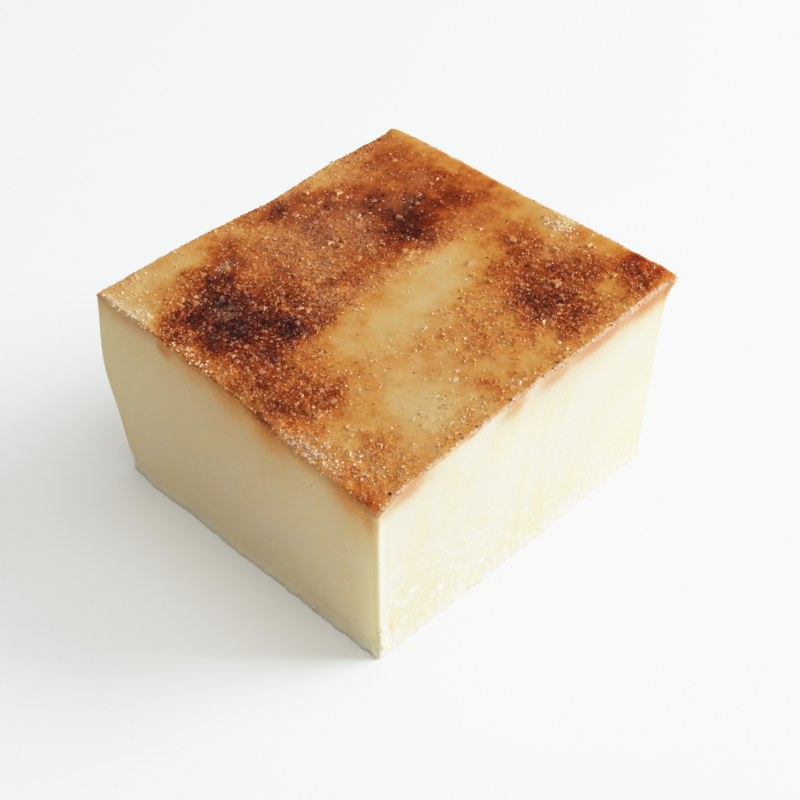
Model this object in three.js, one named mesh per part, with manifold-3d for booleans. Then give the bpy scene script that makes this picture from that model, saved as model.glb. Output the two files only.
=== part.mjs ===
// A hand-cut block of pale fudge whose sugared top has been browned with a torch.
// Millimetres, +Z up. The origin is the middle of the underside. The block stands on z = 0,
// and the corner nearest the viewer points to -X -Y.

import * as THREE from 'three';
import { ImprovedNoise } from 'three/addons/math/ImprovedNoise.js';
import { mergeVertices } from 'three/addons/utils/BufferGeometryUtils.js';
import Module from 'manifold-3d';

// Block
const WIDTH = 55; // along X
const DEPTH = 52; // along Y
const CORNER_HEIGHT = { near: 28.4, right: 31.8, left: 31.3, far: 32.7 };
const EDGE_RADIUS = 0.55;
const GRID = { across: 44, along: 42, up: 14 };
// How much closer together the grid lines are near the edges
const GATHER = { across: 0.35, up: 0.6 };
const UNDERCUT = 2; // the block is made this much taller and then cut flat at the foot

// Softened stretch of the left top edge, where the hot sugar rolled over the near half
const ROLL = { drop: 1.3, width: 4.5, start: 4, full: -12 };
// Dent in the far top edge
const FAR_DENT = { x: 3, halfWidth: 4.5, depth: 0.8, reach: 9 };
// Slight belly on the left upright edge, above mid height
const BELLY = { out: 0.75, z: 19, halfHeight: 6, halfWidth: 8 };
// Sides, which lean in to the foot and were cut by hand.
// A wave's layer picks its own part of the noise.
const FOOT_INSET = 0.7;
const SIDE_WAVE = { height: 0.22, length: 15, layer: 3 };
// Browned sugar crust, which stands proud of the near side as a thin lip
const LIP = { out: 0.3, thickness: 1.3 };
// Flare of the right side toward its top edge, most at the near end
const FLARE = { far: 1.1, near: 1.6, rise: 6 };
// Crumbled foot, which spreads a little
const CRUMBLE = { out: 0.4, height: 0.7, length: 3.2, layer: 7, rise: 3 };
// Top, which is gently uneven and sandy
const TOP_SWELL = { height: 0.22, length: 13, layer: 11 };
const TOP_GRAIN = { height: 0.34, length: 2.7, layer: 19 };

// Largest sugar crystals on the top: their length, the shares of it that they are wide, thick
// and showing, and their clearance from the edges
const CRYSTAL = { least: 0.65, most: 1.1, wide: [0.7, 1], thick: [0.6, 0.9], showing: 0.4, margin: 1.3 };
// Where they lie, by patch: middle, radius and how many
const CRYSTAL_PATCHES = [
  { x: 3, y: 16, radius: 10, count: 20 },
  { x: -16, y: 8, radius: 11, count: 18 },
  { x: 13, y: 7, radius: 9, count: 10 },
  { x: 15, y: -15, radius: 11, count: 18 },
  { x: -24, y: -13, radius: 7, count: 14 },
  { x: -8, y: -19, radius: 10, count: 6 },
  { x: 25, y: -8, radius: 4, count: 6 },
];
const SEED = 41;
const RANDOM = { multiplier: 16807, modulus: 2147483647 };

const HALF_WIDTH = WIDTH / 2;
const HALF_DEPTH = DEPTH / 2;
const MEAN_HEIGHT = Object.values(CORNER_HEIGHT).reduce((sum, height) => sum + height) / 4;

const { clamp, lerp, smoothstep } = THREE.MathUtils;
const noise = new ImprovedNoise();

// Height of a wave at a point: smooth noise whose bumps are the wave's length apart
function bumps(point, { height, length, layer }) {
  return height * noise.noise(point.x / length + layer, point.y / length, point.z / length - layer);
}

// 1 at the middle, falling smoothly to 0 a few half-widths away
function hump(distance, halfWidth) {
  return Math.exp(-0.5 * (distance / halfWidth) ** 2);
}

// Height of the top over a point of the floor: four uneven corners and the rolled edge
function topHeight(x, y) {
  const s = x / WIDTH + 0.5;
  const t = y / DEPTH + 0.5;
  const front = lerp(CORNER_HEIGHT.near, CORNER_HEIGHT.right, s);
  const back = lerp(CORNER_HEIGHT.left, CORNER_HEIGHT.far, s);
  const rolled = clamp(1 - (x + HALF_WIDTH) / ROLL.width, 0, 1) ** 2;
  const along = 1 - smoothstep(y, ROLL.full, ROLL.start);
  return lerp(front, back, t) - ROLL.drop * rolled * along;
}

// Moves an evenly spaced grid line, given from 0 to 1, toward the nearer end
function gatherToEnds(t, share) {
  return t - (share / (2 * Math.PI)) * Math.sin(2 * Math.PI * t);
}

// Rounds the straight block's edges, all but those of the underside
function roundEdges(point) {
  const core = new THREE.Vector3(
    clamp(point.x, EDGE_RADIUS - HALF_WIDTH, HALF_WIDTH - EDGE_RADIUS),
    clamp(point.y, EDGE_RADIUS - HALF_DEPTH, HALF_DEPTH - EDGE_RADIUS),
    Math.min(point.z, MEAN_HEIGHT - EDGE_RADIUS),
  );
  const outward = point.clone().sub(core);
  if (outward.lengthSq() > 0) point.copy(core).add(outward.setLength(EDGE_RADIUS));
}

// How far a point lies on the sides and not on the top, from 0 to 1
function sideShare(point) {
  const inset = Math.min(HALF_WIDTH - Math.abs(point.x), HALF_DEPTH - Math.abs(point.y));
  return 1 - smoothstep(inset, 0, 2 * EDGE_RADIUS);
}

// Direction in which the nearest side faces
function sideDirection(point) {
  const toX = HALF_WIDTH - Math.abs(point.x);
  const toY = HALF_DEPTH - Math.abs(point.y);
  const outX = Math.sign(point.x) * hump(toX, EDGE_RADIUS);
  const outY = Math.sign(point.y) * hump(toY, EDGE_RADIUS);
  return new THREE.Vector3(outX, outY, 0).normalize();
}

// Gives the straight block its lean, belly, dent, lip, flare, crumbled foot and sandy top
function shapePoint(point) {
  const side = sideShare(point);
  const outward = sideDirection(point);
  const height = topHeight(point.x, point.y);
  const straightHeight = point.z;
  point.z *= height / MEAN_HEIGHT;
  const belowTop = height - point.z;
  const source = point.clone();

  const footShare = 1 - straightHeight / MEAN_HEIGHT;
  point.x *= 1 - (FOOT_INSET / HALF_WIDTH) * footShare;
  point.y *= 1 - (FOOT_INSET / HALF_DEPTH) * footShare;

  const fromLeftCorner = Math.hypot(source.x + HALF_WIDTH, source.y - HALF_DEPTH);
  const atBelly = hump(fromLeftCorner, BELLY.halfWidth) * hump(source.z - BELLY.z, BELLY.halfHeight);
  point.x -= BELLY.out * atBelly;
  point.y += BELLY.out * atBelly;

  const dent = FAR_DENT.depth * hump(source.x - FAR_DENT.x, FAR_DENT.halfWidth);
  const atFarEdge = smoothstep(source.y, HALF_DEPTH - FAR_DENT.reach, HALF_DEPTH);
  point.y -= dent * atFarEdge * (1 - footShare);

  const inLip = 1 - smoothstep(belowTop, LIP.thickness / 2, LIP.thickness * 1.5);
  const inFlare = clamp(1 - belowTop / FLARE.rise, 0, 1) ** 2;
  let push = LIP.out * Math.max(-outward.y, 0) * inLip;
  const flare = lerp(FLARE.near, FLARE.far, source.y / DEPTH + 0.5);
  push += flare * Math.max(outward.x, 0) * inFlare;
  push += bumps(source, SIDE_WAVE);

  const inCrumble = 1 - smoothstep(source.z, 0, CRUMBLE.rise);
  push += (CRUMBLE.out + bumps(source, CRUMBLE)) * inCrumble;
  point.addScaledVector(outward, push * side);

  const topShare = 1 - smoothstep(belowTop, 0, LIP.thickness * 2);
  point.z += bumps(source, TOP_SWELL) * (1 - footShare);
  point.z += bumps(source, TOP_GRAIN) * topShare;
}

// Keeps only the shared corner points of a geometry
function merged(geometry) {
  geometry.deleteAttribute('normal');
  geometry.deleteAttribute('uv');
  return mergeVertices(geometry);
}

// Calls change on every corner point of a geometry
function movePoints(geometry, change) {
  const positions = geometry.attributes.position;
  const point = new THREE.Vector3();
  for (let index = 0; index < positions.count; index += 1) {
    point.fromBufferAttribute(positions, index);
    change(point);
    positions.setXYZ(index, point.x, point.y, point.z);
  }
  return geometry;
}

// The bare block: a fine box with its grid gathered to the edges, rounded, then shaped.
// It reaches below the floor, where it is cut off later.
function makeBlock() {
  const tall = MEAN_HEIGHT + UNDERCUT;
  const box = new THREE.BoxGeometry(WIDTH, DEPTH, tall, GRID.across, GRID.along, GRID.up);
  return movePoints(merged(box), (point) => {
    point.x = WIDTH * (gatherToEnds(point.x / WIDTH + 0.5, GATHER.across) - 0.5);
    point.y = DEPTH * (gatherToEnds(point.y / DEPTH + 0.5, GATHER.across) - 0.5);
    point.z = tall * gatherToEnds(point.z / tall + 0.5, GATHER.up) - UNDERCUT;
    roundEdges(point);
    shapePoint(point);
  });
}

// What lies below the floor
function makeBelowFloor() {
  const thickness = 4 * UNDERCUT;
  const slab = new THREE.BoxGeometry(2 * WIDTH, 2 * DEPTH, thickness);
  return merged(slab.translate(0, 0, -thickness / 2));
}

// Repeatable random numbers from 0 to 1
function seededRandom(seed) {
  let state = seed;
  return () => {
    state = (state * RANDOM.multiplier) % RANDOM.modulus;
    return state / RANDOM.modulus;
  };
}

// One sugar crystal, an uneven little brick turned any way and half sunk in the top
function makeCrystal(patch, random) {
  const length = lerp(CRYSTAL.least, CRYSTAL.most, random() ** 2);
  const width = length * lerp(...CRYSTAL.wide, random());
  const thickness = length * lerp(...CRYSTAL.thick, random());
  const brick = new THREE.BoxGeometry(length, width, thickness);
  brick.rotateX(Math.PI * random());
  brick.rotateY(Math.PI * random());
  const angle = 2 * Math.PI * random();
  const reach = patch.radius * Math.sqrt(random());
  const farX = HALF_WIDTH - CRYSTAL.margin;
  const farY = HALF_DEPTH - CRYSTAL.margin;
  const x = clamp(patch.x + reach * Math.cos(angle), -farX, farX);
  const y = clamp(patch.y + reach * Math.sin(angle), -farY, farY);
  brick.translate(x, y, topHeight(x, y) + length * (CRYSTAL.showing - 0.5));
  return merged(brick);
}

const wasm = await Module();
wasm.setup();

// A closed geometry as a solid that can be joined
function toSolid(geometry) {
  return new wasm.Manifold(new wasm.Mesh({
    numProp: 3,
    vertProperties: new Float32Array(geometry.attributes.position.array),
    triVerts: new Uint32Array(geometry.index.array),
  }));
}

// A joined solid as a geometry
function toGeometry(solid) {
  const mesh = solid.getMesh();
  const geometry = new THREE.BufferGeometry();
  geometry.setAttribute('position', new THREE.BufferAttribute(mesh.vertProperties, 3));
  geometry.setIndex(new THREE.BufferAttribute(mesh.triVerts, 1));
  return geometry;
}

// Moves a geometry so that the middle of its footprint is at the origin
function centreOnFloor(geometry) {
  geometry.computeBoundingBox();
  const middle = geometry.boundingBox.getCenter(new THREE.Vector3());
  return geometry.translate(-middle.x, -middle.y, 0);
}

// The block, cut flat at the foot, with its largest crystals fused on
function makeFudge() {
  const random = seededRandom(SEED);
  let solid = toSolid(makeBlock()).subtract(toSolid(makeBelowFloor()));
  for (const patch of CRYSTAL_PATCHES) {
    for (let index = 0; index < patch.count; index += 1) {
      solid = solid.add(toSolid(makeCrystal(patch, random)));
    }
  }
  const geometry = centreOnFloor(toGeometry(solid));
  geometry.computeVertexNormals();
  return geometry;
}

const fudgeFinish = new THREE.MeshStandardMaterial({ color: '#efe4c8', roughness: 0.55, metalness: 0 });

const block = new THREE.Mesh(makeFudge(), fudgeFinish);
block.name = 'fudge_block';

const group = new THREE.Group();
group.add(block);

export default group;
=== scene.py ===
"""A hand-cut block of pale fudge with a torched sugar top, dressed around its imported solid.

The block's own sizes and the places of its scorch marks are in millimetres, and become metres only
when a mesh is written. +Z is up, and the corner nearest the camera points to -X -Y.
"""

from __future__ import annotations

import logging
import math
from dataclasses import dataclass, field
from enum import Enum
from functools import cached_property
from typing import Iterator, Union

import bmesh
import bpy
import numpy as np
from mathutils import Euler, Matrix, Vector


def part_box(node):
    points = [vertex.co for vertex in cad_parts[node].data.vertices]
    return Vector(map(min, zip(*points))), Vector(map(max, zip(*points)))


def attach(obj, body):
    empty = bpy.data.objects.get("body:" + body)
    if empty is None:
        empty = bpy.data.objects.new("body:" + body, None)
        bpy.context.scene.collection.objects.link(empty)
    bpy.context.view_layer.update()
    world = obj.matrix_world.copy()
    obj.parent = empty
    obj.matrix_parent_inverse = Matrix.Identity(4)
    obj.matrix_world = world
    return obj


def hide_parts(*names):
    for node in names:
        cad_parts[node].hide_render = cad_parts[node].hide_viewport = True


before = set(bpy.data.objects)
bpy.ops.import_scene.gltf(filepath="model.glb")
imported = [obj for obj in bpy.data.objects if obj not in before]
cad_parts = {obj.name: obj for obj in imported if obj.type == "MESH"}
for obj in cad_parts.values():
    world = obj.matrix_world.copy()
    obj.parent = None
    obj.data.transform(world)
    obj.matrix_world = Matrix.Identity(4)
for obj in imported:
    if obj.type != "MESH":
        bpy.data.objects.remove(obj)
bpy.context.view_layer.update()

LOG = logging.getLogger("fudge")
MM = 0.001
NODE = "fudge_block"
BODY = "root"
FUDGE_IOR = 1.42
SUGAR_IOR = 1.54

Colour = tuple[float, float, float, float]
Span = tuple[float, float]
Stops = tuple[tuple[float, str], ...]
Feed = Union[bpy.types.NodeSocket, float, tuple]
Feeds = dict[Union[str, int], Feed]


class Slot(Enum):
    """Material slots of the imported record."""

    FUDGE = "fudge"
    SUGAR = "sugar"
    BURNT_SUGAR = "burnt_sugar"


class Side(Enum):
    """The four cut sides, by the way they face."""

    LEFT = (-1, 0)
    RIGHT = (1, 0)
    NEAR = (0, -1)
    FAR = (0, 1)


# Small arithmetic, with the fixed numbers of its noise and its soft marks

NOISE_GAIN = 1.6
PLACE_PRIMES = (73856093, 19349663, 83492791)
LAYER_PRIME = 2654435761
STIRS = ((15, 0x2C1B3C6D), (12, 0x297A2D39))
LAST_SHIFT = 15
WORD = 0xFFFFFFFF
HALF_WORD = 0xFFFF
MARK_FALL = 2.4
UNION_POWER = 8.0


def smoothstep(value: np.ndarray, low: float, high: float) -> np.ndarray:
    """0 below low, 1 above high and a smooth rise between them."""
    share = np.clip((value - low) / (high - low), 0, 1)
    return share * share * (3 - 2 * share)


def hump(distance: np.ndarray, half_width: float) -> np.ndarray:
    """1 at the middle, falling smoothly to 0 a few half-widths away."""
    return np.exp(-0.5 * (distance / half_width) ** 2)


def gather_to_ends(share: np.ndarray, amount: float) -> np.ndarray:
    """Moves evenly spaced grid lines, given from 0 to 1, toward the nearer end."""
    return share - amount / (2 * math.pi) * np.sin(2 * math.pi * share)


def between(span: Span, share: Union[np.ndarray, float]) -> Union[np.ndarray, float]:
    """The number at a share of the way along a span."""
    return span[0] + (span[1] - span[0]) * share


def flat(x: np.ndarray, y: np.ndarray) -> np.ndarray:
    """Places on a level sheet as points, one row each."""
    return np.stack([x, y, np.zeros_like(x)], axis=1)


def facing(outward: np.ndarray, side: Side) -> np.ndarray:
    """How squarely each level direction faces the way that a side does, from 0 to 1."""
    return np.maximum(outward @ np.array(side.value), 0)


def lattice_value(corner: np.ndarray, layer: int) -> np.ndarray:
    """One repeatable value from -1 to 1 for each whole-numbered place.

    Args:
        corner: Places, one row of three whole numbers each.
        layer: Which of many unlike values to give.

    Returns:
        One value for each place.
    """
    x, y, z = (corner * PLACE_PRIMES).T
    mixed = (x ^ y ^ z ^ (layer * LAYER_PRIME)) & WORD
    for shift, factor in STIRS:
        mixed = ((mixed ^ (mixed >> shift)) * factor) & WORD
    return ((mixed ^ (mixed >> LAST_SHIFT)) & HALF_WORD) / (HALF_WORD / 2) - 1


def smooth_noise(points: np.ndarray, layer: int) -> np.ndarray:
    """Smooth noise from about -1 to 1 whose bumps are one unit apart.

    Args:
        points: Places, one row of three numbers each.
        layer: Which of many unlike noises to use.

    Returns:
        One value for each place.
    """
    corner = np.floor(points).astype(np.int64)
    within = points - corner
    ease = within**3 * (within * (within * 6 - 15) + 10)
    total = np.zeros(len(points))
    for step in np.ndindex(2, 2, 2):
        share = np.where(step, ease, 1 - ease).prod(axis=1)
        slope = np.stack([lattice_value(corner + step, 3 * layer + axis) for axis in range(3)], axis=1)
        total += share * (slope * (within - step)).sum(axis=1)
    return NOISE_GAIN * total


@dataclass(frozen=True)
class Wave:
    """One layer of unevenness: how high its bumps stand and how far apart they are, in mm."""

    height: float
    length: float
    layer: int

    def at(self, points: np.ndarray) -> np.ndarray:
        """Height of the unevenness at each point, in mm."""
        return self.height * smooth_noise(points / self.length, self.layer)


def layered(waves: tuple[Wave, ...], points: np.ndarray) -> np.ndarray:
    """Heights of several layers of unevenness at each point, added up."""
    return sum(wave.at(points) for wave in waves)


@dataclass(frozen=True)
class Mark:
    """One soft oval mark: its middle, its half sizes in mm, its strength and its turn in degrees."""

    x: float
    y: float
    along: float
    across: float
    strength: float
    turn: float = 0.0

    def at(self, x: np.ndarray, y: np.ndarray) -> np.ndarray:
        """Strength of the mark at each place. It falls to half at the oval's edge.

        Args:
            x: Places along the first direction, in mm.
            y: Places along the second direction, in mm.

        Returns:
            One value for each place.
        """
        angle = math.radians(self.turn)
        right, up = x - self.x, y - self.y
        major = (right * math.cos(angle) + up * math.sin(angle)) / self.along
        minor = (up * math.cos(angle) - right * math.sin(angle)) / self.across
        return self.strength * 0.5 ** (np.hypot(major, minor) ** MARK_FALL)


def union(marks: tuple[Mark, ...], x: np.ndarray, y: np.ndarray, floor: float = 0.0) -> np.ndarray:
    """The strongest mark at each place, with the changes from mark to mark smoothed.

    Args:
        marks: The marks to lay over each other.
        x: Places along the first direction, in mm.
        y: Places along the second direction, in mm.
        floor: Strength where there is no mark.

    Returns:
        One strength for each place.
    """
    total = sum(mark.at(x, y) ** UNION_POWER for mark in marks)
    return (total + floor**UNION_POWER) ** (1 / UNION_POWER)


@dataclass(frozen=True)
class SoftMap:
    """Strengths on a square grid over the top, softened a little. Lengths are in mm."""

    values: np.ndarray
    reach: float = 32.0
    step: float = 0.25

    @classmethod
    def of_marks(cls, marks: tuple[Mark, ...], floor: float, softness: float) -> "SoftMap":
        """Lays marks over each other and blurs the changes between them.

        Args:
            marks: The marks.
            floor: Strength where there is no mark.
            softness: How far the blur reaches.

        Returns:
            The map.
        """
        line = np.arange(-cls.reach, cls.reach + cls.step / 2, cls.step)
        values = union(marks, *np.meshgrid(line, line), floor)
        kernel = hump(np.arange(-3 * softness, 3 * softness + cls.step / 2, cls.step), softness)
        kernel /= kernel.sum()
        for axis in (0, 1):
            values = np.apply_along_axis(np.convolve, axis, values, kernel, "same")
        return cls(values)

    def at(self, x: np.ndarray, y: np.ndarray) -> np.ndarray:
        """Strength at each place.

        Args:
            x: Places along X, in mm.
            y: Places along Y, in mm.

        Returns:
            One value for each place.
        """
        last = len(self.values) - 1.001
        column = np.clip((x + self.reach) / self.step, 0, last)
        row = np.clip((y + self.reach) / self.step, 0, last)
        left, low = column.astype(int), row.astype(int)
        across, up = column - left, row - low
        lower = self.values[low, left] * (1 - across) + self.values[low, left + 1] * across
        upper = self.values[low + 1, left] * (1 - across) + self.values[low + 1, left + 1] * across
        return lower * (1 - up) + upper * up


@dataclass
class TorchMarks:
    """Where the torch caught the sugared top, in mm from the middle of the top."""

    base: float = 0.22
    softness: float = 0.8
    pale_share: float = 0.8
    melted_share: float = 0.74
    melted: Span = (-8.0, 26.0)
    sandy: Span = (0.12, 0.55)
    haze_grit: float = 0.5
    least_grit: float = 0.06
    warp_offset: float = 50.0
    warps: tuple[Wave, ...] = (Wave(1.1, 6.5, 31), Wave(0.7, 2.4, 33), Wave(0.4, 1.0, 35))
    mottle_floor: float = 0.16
    mottle_gain: float = 1.1
    mottles: tuple[Wave, ...] = (Wave(0.16, 3.1, 41), Wave(0.14, 1.25, 43), Wave(0.08, 0.6, 45))
    scorched: tuple[Mark, ...] = (
        # Browned far half
        Mark(-3.5, 13, 11, 11.5, 0.46), Mark(6.5, 13.5, 9.5, 12, 0.48), Mark(19, 14, 8, 13, 0.48),
        Mark(-9.5, 20.5, 3, 4.4, 0.48), Mark(20.5, 21, 6, 5, 0.49), Mark(25.5, 7, 2, 7, 0.48),
        Mark(22, 25, 5, 1, 0.54), Mark(-2.5, 5.2, 7, 2.6, 0.5), Mark(-2.5, 24.6, 2, 1, 0.47),
        Mark(-11.4, 18, 2.4, 2.4, 0.62), Mark(3, 18, 5, 2.6, 0.55), Mark(-11, 2.4, 6, 1.6, 0.48),
        Mark(13, 2.2, 4, 1.4, 0.54), Mark(21.6, 5.6, 3.4, 2.2, 0.62), Mark(10.5, 14.2, 3.4, 2.4, 0.64),
        Mark(13, 17.4, 3, 2, 0.58), Mark(25.5, 2.2, 2.2, 2.6, 0.44), Mark(8.4, 6.2, 2, 2.4, 0.68),
        # Big burn toward the left side
        Mark(-20.5, 5.5, 7.5, 11.5, 0.52), Mark(-18, 8.3, 9, 9.4, 0.64), Mark(-18, 8.6, 7.2, 7.8, 0.78),
        Mark(-16.4, 7.2, 3, 3.4, 1.0), Mark(-19.9, 8.8, 2.2, 3.2, 0.96), Mark(-17.4, 12.8, 2.8, 2.2, 1.0),
        Mark(-22.4, 13.2, 2.6, 1.5, 0.98), Mark(-14.9, 3, 2, 2.2, 0.96),
        Mark(-14.6, 16.4, 3.8, 2.3, 0.78), Mark(-15.6, 17.2, 1.8, 1.1, 0.86),
        Mark(-9.8, 7.2, 3, 4.6, 0.58), Mark(-26.8, 12, 1.6, 1.8, 0.66), Mark(-12.2, 3.2, 2.4, 2, 0.7),
        Mark(-20.5, 1.2, 3.6, 2.2, 0.66), Mark(-22.5, 8, 2.4, 4, 0.78), Mark(-24.5, 14, 3, 2, 0.68),
        Mark(-16, 19, 5, 1.5, 0.52), Mark(-11.2, 0.7, 3, 1.3, 0.6), Mark(-20, 13.6, 6, 2.6, 0.78),
        Mark(-19.5, 5.6, 3, 2, 0.86), Mark(-15.5, 1.6, 2.6, 1.6, 0.7),
        # Patch below it
        Mark(-21.8, -5, 7, 8.2, 0.45), Mark(-22.4, -4.8, 5.4, 6.4, 0.55), Mark(-25, -6.2, 2.4, 1.1, 0.68),
        Mark(-23.7, -3.2, 1, 1, 0.68), Mark(-20.2, -8.6, 3.6, 2.1, 0.6), Mark(-26.5, -1.5, 2, 6, 0.46),
        Mark(-27, -6, 1.2, 3, 0.5), Mark(-16.5, -9, 2.5, 2, 0.4), Mark(-19.5, -10, 3, 1.6, 0.55),
        # Near corner
        Mark(-26.6, -22.4, 3.6, 3.6, 0.38), Mark(-27.1, -23.6, 1, 1.1, 0.62),
        Mark(-21.3, -20, 2.3, 3, 0.4), Mark(-23, -24, 5, 1.8, 0.32), Mark(-24, -11.5, 4, 2, 0.36),
        # Burn beyond the middle
        Mark(14, 9, 9.4, 6.8, 0.58), Mark(13.2, 8.6, 6.2, 5.4, 0.68), Mark(11.8, 8.4, 3.8, 4.8, 0.83),
        Mark(10.2, 5, 2, 1.8, 0.82), Mark(20, 7.9, 3.4, 1.9, 0.68), Mark(12, 15.6, 4.2, 2.7, 0.62),
        Mark(6.4, 7, 2.8, 2.8, 0.57), Mark(23, 12.4, 2.3, 3.2, 0.57), Mark(16, 11, 2.4, 2, 0.68),
        Mark(13.2, 4.2, 2.4, 1.6, 0.6),
        # Far edge
        Mark(2.8, 22.4, 5.6, 2.9, 0.58), Mark(0.9, 22.4, 2, 2, 0.78), Mark(7, 19.4, 2.2, 3.4, 0.57),
        # Burn toward the right corner
        Mark(17, -14.5, 9.8, 11.4, 0.47), Mark(16.5, -16.5, 8, 5, 0.58),
        Mark(12.2, -20.6, 4.4, 4.8, 0.59), Mark(11.4, -15.4, 2.7, 4.6, 0.7),
        Mark(10.8, -16.6, 1.9, 2, 0.92), Mark(14.4, -19.5, 2.6, 1.6, 0.7), Mark(18.8, -7, 3, 2, 0.56, 20),
        Mark(25.2, -22, 3.6, 4.2, 0.6), Mark(26.2, -21.5, 1, 1, 0.64), Mark(16, -12, 4, 2.4, 0.58),
        Mark(9, -18.2, 2.2, 2.4, 0.68), Mark(16.5, -20.5, 3, 2, 0.58), Mark(22, -24, 4, 1.5, 0.54),
        Mark(21.5, -4.5, 3, 2, 0.45), Mark(11.5, -10, 2.5, 3, 0.46), Mark(17.5, -10, 3, 1.8, 0.55),
        Mark(14, -22.4, 4, 1.8, 0.58), Mark(21, -17.5, 3, 2.5, 0.56),
        # Middle of the near half
        Mark(2, -16.5, 8.4, 10, 0.28), Mark(4.2, -12, 2.8, 3, 0.38), Mark(-6.4, -11.6, 2, 1.3, 0.31),
        Mark(-0.4, -17.4, 2, 1.7, 0.37), Mark(5.4, -18.5, 2.6, 3.6, 0.38),
        Mark(-4.4, -23, 2.1, 2.6, 0.43), Mark(-1.2, -23.8, 1.2, 1.2, 0.38),
        Mark(10, -24.6, 1.1, 0.9, 0.66), Mark(10, -24.5, 18, 1.4, 0.36),
        # Right of the middle
        Mark(19.5, 0, 5.5, 6, 0.36),
    )
    touches: tuple[Mark, ...] = (
        # Left a little longer in the flame
        Mark(-11, 18, 3, 2, 0.06), Mark(3, 18, 5, 2.4, 0.06), Mark(1, 14, 3, 2.4, 0.08),
        Mark(11, 14, 4, 2.4, 0.06), Mark(-9, 2.2, 7, 2, 0.06), Mark(11, 2.2, 4, 1.8, 0.07),
        Mark(-15, -2, 2.4, 2, 0.07), Mark(11, 6, 7, 2.4, 0.05), Mark(25, -24.4, 3, 1.2, 0.1),
        Mark(9, -10, 3, 2, 0.05), Mark(15, -2, 3, 2, 0.04), Mark(-14, -10, 3, 2, 0.05),
        Mark(-9, 12, 3.5, 3, 0.05), Mark(-1, 2, 4, 2, 0.06), Mark(-1, 25.6, 5, 1.2, 0.09),
        Mark(0, 10, 24, 14, 0.02), Mark(-27, -6, 1.6, 2.4, 0.06), Mark(-3, -3, 5, 2.2, 0.04),
        Mark(25.5, -23.4, 3.4, 2.4, 0.1), Mark(5.4, 8.8, 1.6, 1.6, 0.08), Mark(26, -18, 1.6, 3, 0.05),
        Mark(-23.9, 0.2, 1.6, 1.4, 0.05), Mark(-23, -2.2, 1.6, 1.4, 0.06), Mark(-1, -2.4, 4, 1.4, 0.05),
        Mark(13, -2.2, 2.4, 1.4, 0.05), Mark(-13, 1.8, 3, 1.4, 0.05), Mark(-23.4, 8, 2, 3, 0.04),
        Mark(25, -10.5, 2, 1.6, 0.07), Mark(21, -6.2, 1.6, 1.6, 0.06), Mark(15, -22.4, 2.6, 1.4, 0.06),
        Mark(21, 1.4, 2, 1.4, 0.05),
        # Taken out of it a little sooner
        Mark(17, -6.2, 1.6, 1.4, -0.06), Mark(-27.2, 22.5, 1.4, 2.6, -0.1), Mark(-27, 18, 2.4, 5, -0.12),
        Mark(-19.5, -2.5, 2.4, 2, -0.07), Mark(-12, -22, 5, 2, -0.06), Mark(25, 6, 2.4, 2.4, -0.05),
        Mark(-22, -6, 3, 2.4, -0.05), Mark(25, -21.6, 2.4, 1.6, -0.07), Mark(-15, 6, 1.6, 1.6, -0.05),
        Mark(17, 10, 2, 2, -0.04), Mark(21, 18, 3, 3, -0.03), Mark(-3, -22, 2, 2, -0.04),
        Mark(-17, 22, 3, 1.6, -0.06), Mark(20, -16, 1.2, 1.2, -0.03), Mark(3, -23.7, 3, 1.2, -0.05),
        Mark(-23, -21, 2, 3, -0.05), Mark(13, -14, 1.6, 1.6, -0.06), Mark(-27, -1, 1.2, 2, -0.08),
        Mark(-7, 2, 2, 1.2, -0.05), Mark(-12.3, -3.7, 2, 1.4, -0.03),
    )
    pale: tuple[Mark, ...] = (
        Mark(0.5, -5, 9.5, 3.4, 1), Mark(9.5, -1.8, 5, 2.2, 1, 10), Mark(-9, -4.2, 5, 2.2, 0.4),
        Mark(-12.8, -18.3, 3.6, 3.6, 1), Mark(-11, -12.5, 4, 3.5, 0.35), Mark(-27.5, 20.5, 3.6, 3.6, 0.5),
        Mark(27.8, -6, 2, 7, 0.6), Mark(28.5, 12, 1.2, 14, 0.6), Mark(-5.5, -8, 5, 2, 0.5),
        Mark(-21, 23.6, 8, 2.6, 0.36), Mark(-26.8, -16, 1.6, 5, 0.55), Mark(-2.5, 12, 2.8, 3, 0.22),
        Mark(-27.8, 21, 1.4, 5, 0.85), Mark(5.5, 13, 2.2, 2.7, 0.22), Mark(-8.5, 16.4, 1.4, 1.6, 0.2),
        Mark(18, 19.4, 1.6, 1.8, 0.2), Mark(19.6, -22, 2.6, 1.6, 0.37), Mark(24.5, -9.5, 3, 3, 0.3),
        Mark(-2.5, 18, 2.5, 1.2, 0.25),
    )
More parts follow.
